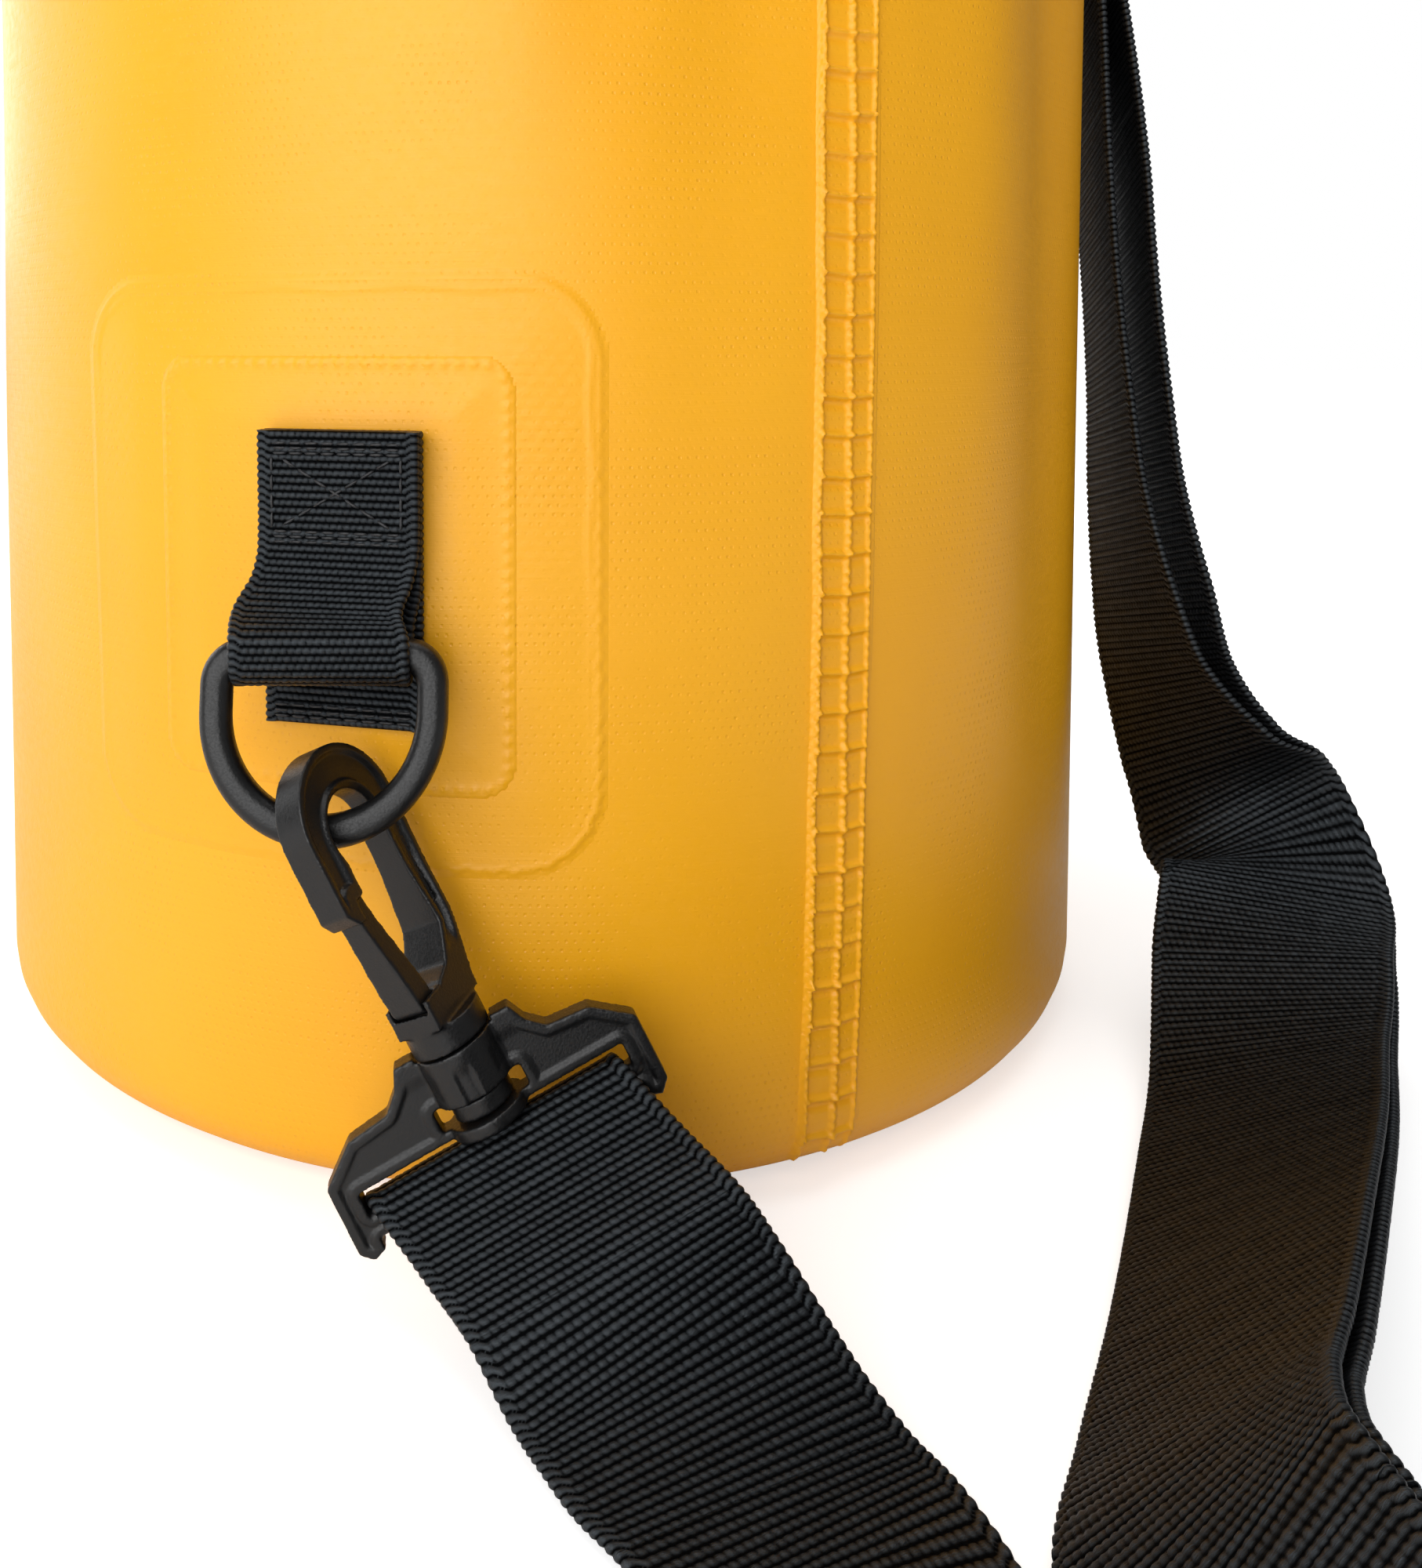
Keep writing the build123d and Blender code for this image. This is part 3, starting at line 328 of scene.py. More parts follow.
def webbing(
    name, run, width, thickness, slot="strap_webbing", first=0, last=None, shift=0.0,
    *, columns, pitch=RIB_PITCH, yarn=YARN_WIDTH, seed=3,
):
    """Woven strap along a run, from one row to another. shift moves it towards its inner side."""
    last = len(run.at) - 1 if last is None else last
    rows = slice(first, last + 1)
    half = width / 2
    face = np.linspace(-half, half, columns)
    rim = np.array([0.22, 0.36, 0.22])
    across = np.concatenate([face, half + rim, face[::-1], -half - rim])
    side = np.concatenate([np.ones(columns), [0.55, 0, -0.55], -np.ones(columns), [-0.55, 0, 0.55]])
    along = run.at[rows][:, None]
    limited = np.clip(across, -half, half)[None, :]
    weave = rib_height(along, limited, pitch, yarn, half, seed)
    reach = np.abs(across)[None, :] > half
    bulge = np.where(reach, SELVEDGE_BULGE * (weave - 0.6), 0)
    lateral = (across[None, :] + np.sign(across)[None, :] * bulge)[..., None]
    shift = np.broadcast_to(shift, run.at.shape)[rows][:, None]
    level = (side[None, :] * (thickness / 2 - RIB_DEPTH * (1 - weave)) + shift)[..., None]
    centre, sideways, inward = (line[rows][:, None, :] for line in (run.centre, run.across, run.inner))
    points = centre + sideways * lateral + inward * level
    count, ring = points.shape[:2]
    faces = grid_faces(count, ring, ring=True)
    faces.append(list(range(ring))[::-1])
    faces.append([(count - 1) * ring + i for i in range(ring)])
    faces = [corners[::-1] for corners in faces]
    cloth = np.stack(np.broadcast_arrays(across[None, :], along), -1).reshape(-1, 2)
    strap = piece(name, points.reshape(-1, 3), faces, WEBBING, cloth, weave)
    for cap in (-2, -1):
        strap.data.polygons[len(faces) + cap].use_smooth = False
    return strap


# ---- frames of the ring and hook sets
def plane(origin, x_direction, z_direction):
    """4x4 frame with its z along one direction and its x nearest to another."""
    z = Vector(z_direction).normalized()
    x = Vector(x_direction)
    x = (x - z * x.dot(z)).normalized()
    placed = Matrix((x, z.cross(x), z)).transposed().to_4x4()
    placed.translation = Vector(origin)
    return placed


LOWER_BAR = (-29.0, -114.8, 83.8)
UPPER_BAR = (107.0, 0, 316.0)
RING_BAR = 4.5
RING_INNER_WIDTH = 26.4
RING_DROP = 22.8


class HookSet:
    """Places of one ring, swivel hook and yoke."""

    def __init__(self, bar_centre, bar_direction, tilt, along_ring, eye_drop, axis, nose, yoke):
        bar = Vector(bar_direction)
        outward = bar.cross(Vector((0, 0, 1)))
        down = outward * sin(radians(tilt)) - Vector((0, 0, 1)) * cos(radians(tilt))
        self.ring = plane(bar_centre, bar, down)
        tube = (RING_INNER_WIDTH + RING_BAR) / 2
        drop = RING_DROP - tube + sqrt(tube**2 - along_ring**2)
        self.tube_point = self.ring @ Vector((along_ring, 0, drop))
        self.axis = Vector(axis).normalized()
        top = self.tube_point - self.axis * eye_drop
        self.hook = plane(top, nose, self.axis)
        self.yoke = plane(top, yoke, self.axis)


LOWER = HookSet(
    LOWER_BAR, (1, 0, 0), 12.0, 3.5, 11.0,
    (0.46, -0.06, -0.886), (-0.39, -0.911, -0.14), (0.88, 0.13, 0.46),
)
UPPER = HookSet(UPPER_BAR, (0, 1, 0), 20.0, 0.0, 9.3, (0, 0, -1), (1, 0, 0), (0, -1, 0))


# ---- bag surface
SEAM_BEARING = 25.3
SHOULDER = 215.0
SHOULDER_CLOTH = 132.0
PLEAT_START = 25
BASE_EDGE = 11.0
BASE_Z = 0.9
ROLL_FLAT_HALF = 50.0
ROLL_BEND = 45.0
ROLL_AXIS_Z = 296.0
ROLL_THICKNESS = 12.0
NECK_HALF = 3.4
EAR_REACH = 105.0

# (bearing, height, half spread in degrees, half spread up, depth towards the inside)
DENTS = (
    (56.0, 195.0, 9.0, 85.0, 4.2),
    (54.0, 95.0, 9.0, 50.0, 1.6),
    (40.0, 190.0, 5.0, 75.0, -0.7),
    (15.0, 182.0, 7.0, 38.0, 2.2),
    (5.0, 196.0, 3.5, 22.0, 1.6),
    (-3.0, 182.0, 6.0, 35.0, -0.8),
    (13.0, 120.0, 6.0, 26.0, 0.6),
    (-40.0, 150.0, 14.0, 60.0, -0.8),
    (-52.0, 60.0, 12.0, 35.0, 0.9),
    (95.0, 150.0, 12.0, 70.0, 2.4),
    (128.0, 110.0, 16.0, 60.0, 1.8),
    (160.0, 170.0, 13.0, 55.0, 2.6),
    (190.0, 95.0, 18.0, 50.0, 1.6),
    (222.0, 165.0, 13.0, 60.0, 2.4),
    (255.0, 105.0, 14.0, 55.0, 1.8),
    (282.0, 180.0, 12.0, 50.0, 2.2),
)


def sway(bearing, z):
    """How far the wall stands out from a true cylinder."""
    total = np.zeros(np.broadcast(bearing, z).shape)
    for centre, height, spread, rise, depth in DENTS:
        turn = (bearing - centre + 180) % 360 - 180
        total = total - depth * np.exp(-((turn / spread) ** 2) - ((z - height) / rise) ** 2)
    return total * smooth_share(z, 8, 45)


def roll_underside(reach):
    """x and z of the roll's lower face at a distance along it from the middle."""
    turn = np.maximum(np.abs(reach) - ROLL_FLAT_HALF, 0) / ROLL_BEND
    under = ROLL_BEND + ROLL_THICKNESS / 2
    flat = np.clip(reach, -ROLL_FLAT_HALF, ROLL_FLAT_HALF)
    x = flat + np.sign(reach) * under * np.sin(turn)
    return x, ROLL_AXIS_Z + ROLL_BEND - under * np.cos(turn)


def pleats(bearing, rise):
    """Folds where the round bag closes up to its flat mouth."""
    share = np.clip((rise - SHOULDER + PLEAT_START) / (SHOULDER_CLOTH + PLEAT_START), 0, 1)
    wobble = 0.35 * np.sin(radians(1) * bearing * 3 + 1.0)
    broad = np.sin(radians(1) * bearing * 9 + wobble * 4) * 0.7
    fan = broad + np.sin(radians(1) * bearing * 17 + 2.0 + wobble) * 0.3
    envelope = share**1.3 * (1 - share) ** 0.7 * 3.2
    return fan * envelope * 1.5


def bag_surface(bearing, rise):
    """Points of the bag's outside. rise is the distance up the cloth, equal to z on the barrel."""
    bearing, rise = np.broadcast_arrays(np.asarray(bearing, float), np.asarray(rise, float))
    turn = np.radians(bearing)
    z = np.minimum(rise, SHOULDER)
    low = np.clip(BASE_Z + BASE_EDGE - z, 0, BASE_EDGE)
    rounding = BASE_EDGE - np.sqrt(np.maximum(BASE_EDGE**2 - low**2, 0))
    radius = BAG_RADIUS + sway(bearing, z) - rounding
    outward = np.stack([np.sin(turn), -np.cos(turn), np.zeros_like(turn)], -1)
    up = np.array([0, 0, 1.0])
    start = outward * radius[..., None] + up * z[..., None]
    u = np.clip((rise - SHOULDER) / SHOULDER_CLOTH, 0, 1)[..., None]
    mouth_x, mouth_z = roll_underside(EAR_REACH * np.sin(turn))
    mouth_y = -NECK_HALF * np.clip(np.cos(turn) * 5, -1, 1)
    mouth = np.stack([mouth_x, mouth_y, mouth_z], -1)
    facing = np.abs(np.cos(turn))[..., None]
    sideways = 1 - facing
    near = start + up * 38
    far = mouth + outward * (46 * facing) - up * (12 + 26 * sideways)
    return start * (1 - u) ** 3 + near * 3 * u * (1 - u) ** 2 + far * 3 * u**2 * (1 - u) + mouth * u**3


def skin(bearing, rise, height=0.0):
    """Points of the folded outside, raised by a height along its normal."""
    bearing, rise = np.broadcast_arrays(np.asarray(bearing, float), np.asarray(rise, float))
    step = 0.4
    turned = bag_surface(bearing + step, rise) - bag_surface(bearing - step, rise)
    climbed = bag_surface(bearing, rise + step) - bag_surface(bearing, rise - step)
    normal = unit(np.cross(turned, climbed))
    lift = pleats(bearing, rise) + height
    return bag_surface(bearing, rise) + normal * np.asarray(lift)[..., None]


def cloth_at(bearing, rise):
    across = np.radians(bearing) * BAG_RADIUS
    return np.stack(np.broadcast_arrays(across, rise), -1).reshape(-1, 2)


def bag_shell():
    """The bag in one sheet, from the weld round its base up to the mouth under the roll."""
    columns = 300
    bearing = SEAM_BEARING + np.arange(columns) * 360 / columns
    base = BASE_Z + BASE_EDGE * (1 - np.cos(np.linspace(0.03, pi / 2, 7)))
    barrel = np.linspace(BASE_Z + BASE_EDGE, SHOULDER, 62)[1:]
    shoulder = np.linspace(SHOULDER, SHOULDER + SHOULDER_CLOTH, 40)[1:]
    rise = np.concatenate([base, barrel, shoulder])
    points = skin(bearing[None, :], rise[:, None])
    tucked = points[0] * [0.9, 0.9, 1] + [0, 0, -0.1]
    points = np.concatenate([tucked[None], points])
    rise = np.concatenate([[rise[0] - 10], rise])
    faces = grid_faces(len(rise), columns, ring=True)
    cloth = cloth_at(bearing[None, :], rise[:, None])
    shell = piece("bag_shell", points.reshape(-1, 3), faces, TARPAULIN, cloth)
    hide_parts("bag_wall")
    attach(shell, "bag")


def bag_base():
    """Round bottom panel with a weld ring, a slightly raised middle and a raised rim."""
    columns = 180
    radii = np.concatenate([[0.5, 8, 20, 35, 50, 65, 78], np.linspace(82, 97.0, 26)])
    turn = np.arange(columns) * 2 * pi / columns
    groove = np.exp(-(((radii - 88) / 1.2) ** 2)) + np.exp(-(((radii - 92) / 1.2) ** 2))
    ripple = 0.12 * np.sin(turn * 120)[None, :] * groove[:, None]
    z = 0.25 + 0.35 * groove[:, None] + ripple * 0.5
    z = z + 0.5 * smooth_share(radii, 60, 10)[:, None] + smooth_share(radii, 94, 97)[:, None] * 0.6
    x = radii[:, None] * np.sin(turn)
    y = -radii[:, None] * np.cos(turn)
    under = np.stack([x, y, z], -1)
    points = np.concatenate([under, under[::-1] + [0, 0, 0.6]]).reshape(-1, 3)
    faces = grid_faces(2 * len(radii), columns, ring=True)
    faces.append(list(range(columns)))
    faces.append([(2 * len(radii) - 1) * columns + i for i in range(columns)][::-1])
    panel = piece("base_skin", points, [f[::-1] for f in faces], TARPAULIN, points[:, :2])
    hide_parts("base_panel")
    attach(panel, "bag")


def relief_sheet(name, node, bearing, rise, height, back):
    """Closed thin piece on the bag's skin. bearing, rise and height are grids; back is its hidden depth."""
    front = skin(bearing, rise, height)
    behind = skin(bearing, rise, back)
    rows, columns = height.shape
    faces = grid_faces(rows, columns)
    count = rows * columns
    faces += [[count + i for i in face[::-1]] for face in grid_faces(rows, columns)]
    border = (
        list(range(columns))
        + [r * columns + columns - 1 for r in range(1, rows)]
        + [(rows - 1) * columns + c for c in range(columns - 2, -1, -1)]
        + [r * columns for r in range(rows - 2, 0, -1)]
    )
    for here, beside in zip(border, border[1:] + border[:1]):
        faces.append([beside, here, count + here, count + beside])
    points = np.concatenate([front.reshape(-1, 3), behind.reshape(-1, 3)])
    cloth = cloth_at(bearing, rise)
    obj = piece(name, points, faces, TARPAULIN, np.concatenate([cloth, cloth]))
    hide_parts(node)
    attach(obj, "bag")


def bead(offset, width):
    return np.exp(-((offset / width) ** 2))


# ---- welded side seam
RUNG_PITCH = 5.75
RUNG_DRAWS = 80
SEAM_HALF = 6.0
SEAM_FOOT, SEAM_TOP = 3.6, 318.0


def welded_seam():
    """Double braided edge, a middle chain of knuckles and rungs, pressed into the seam by its weld."""
    across = np.linspace(-SEAM_HALF, SEAM_HALF, 49)[None, :]
    rise = np.arange(SEAM_FOOT, SEAM_TOP, 0.32)[:, None]
    drift = -2.0 - 2.4 * np.exp(-rise / 55.0)
    bearing = SEAM_BEARING + np.degrees((across + drift) / BAG_RADIUS)
    chance = np.random.default_rng(11)
    rung_lift = chance.uniform(0.75, 1.15, RUNG_DRAWS)
    rung_shift = chance.uniform(-0.25, 0.25, RUNG_DRAWS)
    wander = 0.12 * np.sin(rise / 7.3) + 0.08 * np.sin(rise / 3.1 + 1)
    left = across + 4.55 + wander
    strand = 0.3 * np.sin(2 * pi * rise / 3.4)
    height = 0.5 * bead(left - strand, 0.24) + 0.5 * bead(left + strand, 0.24) + 0.2 * bead(left, 0.5)
    right = across - 4.2 + 0.7 * wander
    height = height + (0.45 + 0.12 * np.sin(2 * pi * rise / 1.5)) * bead(right, 0.3)
    middle = across - 0.45 - wander
    knuckle = 0.5 + 0.5 * np.cos(2 * pi * rise / 1.42)
    height = height + (0.3 + 0.42 * knuckle**0.7) * bead(middle, 0.5)
    tape = smooth_share(across, -5.0, -4.2) * (1 - smooth_share(across, 4.3, 5.0))
    number = np.floor(rise / RUNG_PITCH).astype(int)
    slope = np.where(across < 0.4, 0.085 * (across + 2), -0.06 * (across - 2))
    drawn = number % RUNG_DRAWS
    local = rise - (number + 0.5) * RUNG_PITCH + slope - rung_shift[drawn]
    rung = np.exp(-((local / 0.34) ** 2)) - 0.4 * np.exp(-(((local + 1.15) / 0.6) ** 2))
    inside = (across > -4.4) & (across < 4.1)
    height = height + np.where(inside, 0.72 * rung_lift[drawn] * rung, 0)
    height = height + 0.3 * tape
    outer = 0.18 * bead(across - 5.35 + 0.4 * wander, 0.35)
    edge = outer * smooth_share(rise, 70, 90) * (1 - smooth_share(rise, 150, 170))
    border = smooth_share(SEAM_HALF - np.abs(across), 0, 0.9)
    fade = smooth_share(rise, SEAM_FOOT, 6) * (1 - smooth_share(rise, SEAM_TOP - 6, SEAM_TOP))
    height = (height + edge) * border * fade - 0.12 * (1 - border * fade)
    relief_sheet("side_weld", "side_seam", bearing, rise, height, -0.5)


# ---- patches
def rounded_distance(u, v, half_u, half_v, corner):
    """How far inside a rounded rectangle a point lies."""
    du = np.abs(u) - (half_u - corner)
    dv = np.abs(v) - (half_v - corner)
    outside = np.hypot(np.maximum(du, 0), np.maximum(dv, 0))
    return corner - outside - np.minimum(np.maximum(du, dv), 0)


def outline_place(u, v, half_u, half_v):
    """Rough distance round an outline, for spacing its bumps."""
    return np.where(np.abs(u) / half_u > np.abs(v) / half_v, v, u)


def outer_patch():
    half, corner, step = 42.0, 12.5, 0.5
    grid = np.arange(-half - 1.5, half + 1.5 + step / 2, step)
    u, v = np.meshgrid(grid, grid)
    inside = rounded_distance(u, v, half, half, corner)
    round_it = outline_place(u, v, half, half)
    lower_right = smooth_share((u - v) / 1.4, -10, 45)
    top = smooth_share(v, 20, 40)
    ripple = 0.17 * np.sin(round_it * 2 * pi / 2.7 + 0.8 * np.sin(round_it / 5))
    scallop = lower_right * (ripple + 0.1 * np.sin(round_it / 0.7))
    inner_line = inside - 2.0 - 0.25 * np.sin(round_it / 3.1)
    outer_line = inside - 0.7 - scallop
    height = 0.2 * smooth_share(outer_line, -0.6, 0.2)
    height = height + (0.14 + 0.12 * np.maximum(lower_right, top)) * bead(outer_line, 0.36)
    crisp = np.maximum(top, smooth_share(u, 25, 40) * smooth_share(v, -20, 20))
    height = height + (0.05 + 0.17 * crisp) * bead(inner_line, 0.34)
    rows = 0.5 + 0.5 * np.cos(2 * pi * v / 1.5)
    stagger = np.floor(v / 1.5) % 2
    lozenge = 0.5 + 0.5 * np.cos(2 * pi * (u / 2.7 + 0.5 * stagger))
    between = smooth_share(inside, 2.5, 4.5) * smooth_share(np.abs(u + 1.5), 27, 29)
    strong = bead(v - 22, 14) * 0.75 + 0.3 * bead(v + 5, 22)
    height = height + 0.16 * rows * (0.35 + 0.65 * lozenge) * between * strong
    height = height + 0.42 * smooth_share(inside, 2, 14)
    height = np.where(inside > -0.9, height, -0.15)
    bearing = -17.5 + np.degrees(u / BAG_RADIUS)
    relief_sheet("outer_patch_skin", "outer_patch", bearing, v + 93.0, height, -0.5)


def inner_patch():
    half_u, half_v, corner, step = 27.0, 30.3, 4.5, 0.4
    grids = [np.arange(-half - 1.2, half + 1.2 + step / 2, step) for half in (half_u, half_v)]
    u, v = np.meshgrid(*grids)
    inside = rounded_distance(u, v, half_u, half_v, corner)
    round_it = outline_place(u, v, half_u, half_v)
    dash = smooth_share(np.sin(round_it * 2 * pi / 2.1 + 0.9 * np.sin(round_it / 4)), -0.3, 0.5)
    faint = 0.55 + 0.45 * smooth_share((v - u) / 1.4, -25, 10) + 0.5 * smooth_share((u - v) / 1.4, 5, 30)
    height = 0.72 + 0.1 * smooth_share(inside, -0.3, 0.4) + 0.26 * dash * faint * bead(inside - 0.7, 0.42)
    height = height + 0.65 * smooth_share(inside, 1.5, 9)
    height = np.where(inside > -0.5, height, 0.3)
    bearing = -16.3 + np.degrees(u / BAG_RADIUS)
    relief_sheet("inner_patch_skin", "inner_patch", bearing, v + 92.9, height, 0.1)


# ---- ring webbing and its stitches
LOOP_BEARING = -15.35
LOOP_TOP = 113.4
LOOP_KINK = 93.0
PATCH_SURFACE = BAG_RADIUS + 1.6
BACKING_FACE = PATCH_SURFACE + 1.5
NARROW = 23.0
NARROW_THICKNESS = 1.4
NARROW_STEP = 0.21
HIDDEN_STEP = 0.375
LOOP_RADIUS = RING_BAR / 2 * 1.09 + 0.3 + NARROW_THICKNESS / 2
LOOP_SHIFT = 2.4
BACKING_THICKNESS = 1.5
STITCH_LENGTH, STITCH_GAP = 2.0, 0.35
THREAD_SINK = 0.12
SEWN_HALF = 9.5
BACKING_SHIFT = 1.9


def at_bearing(bearing, distance, z, across=0.0):
    turn = radians(bearing)
    outward = Vector((sin(turn), -cos(turn), 0))
    return outward * distance + Vector((cos(turn), sin(turn), 0)) * across + Vector((0, 0, z))


def fold_round(centre, outward, bar):
    """Stations down past a ring's bar, round its underside and up again, from the outer side."""
    level = Vector((0, 0, RING_BAR / 2))
    stations = [(centre + outward * LOOP_RADIUS + level, bar)]
    for i in range(9):
        angle = pi * i / 8
        point = centre + outward * (LOOP_RADIUS * cos(angle)) - Vector((0, 0, LOOP_RADIUS * sin(angle)))
        stations.append((point, bar))
    return stations + [(centre - outward * LOOP_RADIUS + level, bar)]


def ring_webbing():
    """Webbing that folds under the lower ring's bar, its two ends sewn to the backing."""
    tangent = at_bearing(LOOP_BEARING, 0, 0, 1.0)
    bar = Vector((1, 0, 0))
    front, rear = BACKING_FACE + 1.5 * NARROW_THICKNESS, BACKING_FACE + 0.5 * NARROW_THICKNESS
    eased = (tangent * 0.7 + bar * 0.3).normalized()
    stations = [(at_bearing(LOOP_BEARING, front, z, LOOP_SHIFT), tangent) for z in (LOOP_TOP, 107.0, 100.0)]
    stations += [
        (at_bearing(LOOP_BEARING, front + 0.2, LOOP_KINK + 3.4, 2.3), tangent),
        (at_bearing(LOOP_BEARING, front + 1.3, LOOP_KINK + 0.4, 2.0), tangent),
        (at_bearing(LOOP_BEARING, front + 4.4, LOOP_KINK - 3.4, 1.3), eased),
    ]
    stations += fold_round(Vector(LOWER_BAR), Vector((0, -1, 0)), bar)
    stations += [(at_bearing(LOOP_BEARING, rear, z, 2.2), tangent) for z in (LOOP_KINK, 100.0, 107.0, LOOP_TOP)]
    run = Run(stations, NARROW_STEP, sheared=True)
    weave = dict(slot="narrow_webbing", pitch=NARROW_RIB_PITCH, yarn=NARROW_YARN_WIDTH)
    loop = webbing("ring_webbing", run, NARROW, NARROW_THICKNESS, columns=84, **weave)
    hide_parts("ring_loop")
    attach(loop, "bag")
    middle = (PATCH_SURFACE + BACKING_FACE) / 2
    heights = (72.0, 85.0, 99.0, LOOP_TOP)
    stations = [(at_bearing(LOOP_BEARING, middle, z, BACKING_SHIFT), tangent) for z in heights]
    run = Run(stations, NARROW_STEP)
    strip = webbing("ring_backing", run, NARROW, BACKING_THICKNESS, columns=76, seed=8, **weave)
    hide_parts("loop_backing")
    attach(strip, "bag")


def stitches(name, lines, place, radius=0.3):
    """Short rounded lengths of thread along lines; place gives the point over (across, up, height)."""
    points, faces = [], []
    sides, rings = 8, 7
    gap = STITCH_GAP
    for start, end in lines:
        start, end = np.array(start, float), np.array(end, float)
        length = np.linalg.norm(end - start)
        count = max(1, int(length / (STITCH_LENGTH + gap)))
        along = (end - start) / length
        beside = np.array([-along[1], along[0]])
        for i in range(count):
            centre = start + along * (length * (i + 0.5) / count)
            first = len(points)
            reach = (length / count - gap) / 2
            for j in range(rings):
                t = -1 + 2 * j / (rings - 1)
                swell = radius * max(0.25, sqrt(max(0.0, 1 - t**4)))
                sink = 0.25 * radius - 0.75 * radius * t * t
                for k in range(sides):
                    angle = 2 * pi * k / sides
                    flat = centre + along * (reach * t) + beside * (swell * cos(angle))
                    points.append(list(place(flat[0], flat[1], sink + swell * sin(angle))))
            faces += grid_faces(rings, sides, ring=True, start=first)
            faces.append([first + k for k in range(sides)][::-1])
            faces.append([first + (rings - 1) * sides + k for k in range(sides)])
    return piece(name, points, faces, THREAD)


def box_lines(half_width, low, high):
    """Lines of a sewn box: three at its top and bottom, one at each side, and a cross between."""
    lines = []
    for shift in (-0.7, 0.0, 0.7):
        lines.append(((-half_width, high + shift), (half_width, high + shift)))
        lines.append(((-half_width, low + shift), (half_width, low + shift)))
    for side in (-1, 1):
        lines.append(((side * half_width, low + 1), (side * half_width, high - 1)))
        lines.append(((-side * half_width * 0.85, low + 1.4), (side * half_width * 0.85, high - 1.4)))
    return lines


def ring_stitches():
    face = BACKING_FACE + 2 * NARROW_THICKNESS - THREAD_SINK

    def on_front(across, up, height):
        return at_bearing(LOOP_BEARING, face + height, up, across + LOOP_SHIFT)

    thread = stitches("ring_stitches", box_lines(SEWN_HALF, LOOP_TOP - 14.6, LOOP_TOP - 2.4), on_front, 0.22)
    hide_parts("loop_stitching")
    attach(thread, "bag")
    backing = BACKING_FACE - 0.1

    def on_backing(across, up, height):
        return at_bearing(LOOP_BEARING, backing + height, up, across + BACKING_SHIFT)

    lines = [((-10.5, z), (10.5, z)) for z in (73.0, 73.8, 74.6)]
    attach(stitches("backing_stitches", lines, on_backing, 0.22), "bag")


# ---- shoulder strap
STRAP = 36.2
STRAP_STEP = 0.24
RISER_STEP = 0.25
HAIRPIN_X, HAIRPIN_Y, HAIRPIN_BANK = 29.0, -282.0, 80
STRAP_THICKNESS = 1.5
LAYER_PITCH = 2.4
LAYERS_APART = 4.2
FLOOR_GAP = 0.1
GLIDE_CENTRE = (60.5, -236.0)
GLIDE_BANK = 55.0
GLIDE_REACH = 16.0
GLIDE_STILL = 48.0
GLIDE_LIFT = 1.4
GLIDE_THICKNESS = 2.4
GLIDE_EYE = 3.0 / 2 + 0.25 + 0.2 + STRAP_THICKNESS
WEAVE_UNDER = GLIDE_THICKNESS / 2 + 0.3 + STRAP_THICKNESS / 2
WEAVE_OVER = GLIDE_EYE + 0.3 + STRAP_THICKNESS
YOKE_BAR = (55.6 + 59.1) / 2
SEWN_END = 20.0


def banked(heading, bank):
    right = Vector((heading[1], -heading[0], 0)).normalized()
    return right * cos(radians(bank)) + Vector((0, 0, sin(radians(bank))))


def on_floor(x, y, heading, bank, layers=1, lift=0.0):
    """Station of strap on or just over the floor, its right-hand edge banked up."""
    stack = (LAYER_PITCH * (layers - 1) + STRAP_THICKNESS) / 2
    z = abs(sin(radians(bank))) * (STRAP + 0.8) / 2 + cos(radians(bank)) * stack + FLOOR_GAP + lift
    return (Vector((x, y, z)), banked(heading, bank))


def glide_frame():
    """Frame of the tri-glide: x up its banked width, y through it towards the floor, z along the strap."""
    centre, edge = on_floor(*GLIDE_CENTRE, (0, 1), GLIDE_BANK, 2, GLIDE_LIFT)
    inner = edge.cross(Vector((0, 1, 0)))
    return plane(centre + inner * (WEAVE_UNDER + LAYER_PITCH / 2), edge, (0, 1, 0))


def glide_stations(profile):
    placed = glide_frame()
    edge = placed.to_3x3() @ Vector((1, 0, 0))
    return [(placed @ Vector((0, out, along)), edge) for along, out in profile]


def weave_profile():
    slot_end = 7.5 + 3.0 / 2
    half = [
        (GLIDE_REACH, WEAVE_UNDER),
        (slot_end - 0.4, WEAVE_UNDER),
        (GLIDE_EYE + 1.15, -GLIDE_EYE / 2 - 0.1),
        (GLIDE_EYE - 1.05, 0.5 - WEAVE_OVER),
    ]
    return [(-along, out) for along, out in half] + [(0, -WEAVE_OVER)] + half[::-1]


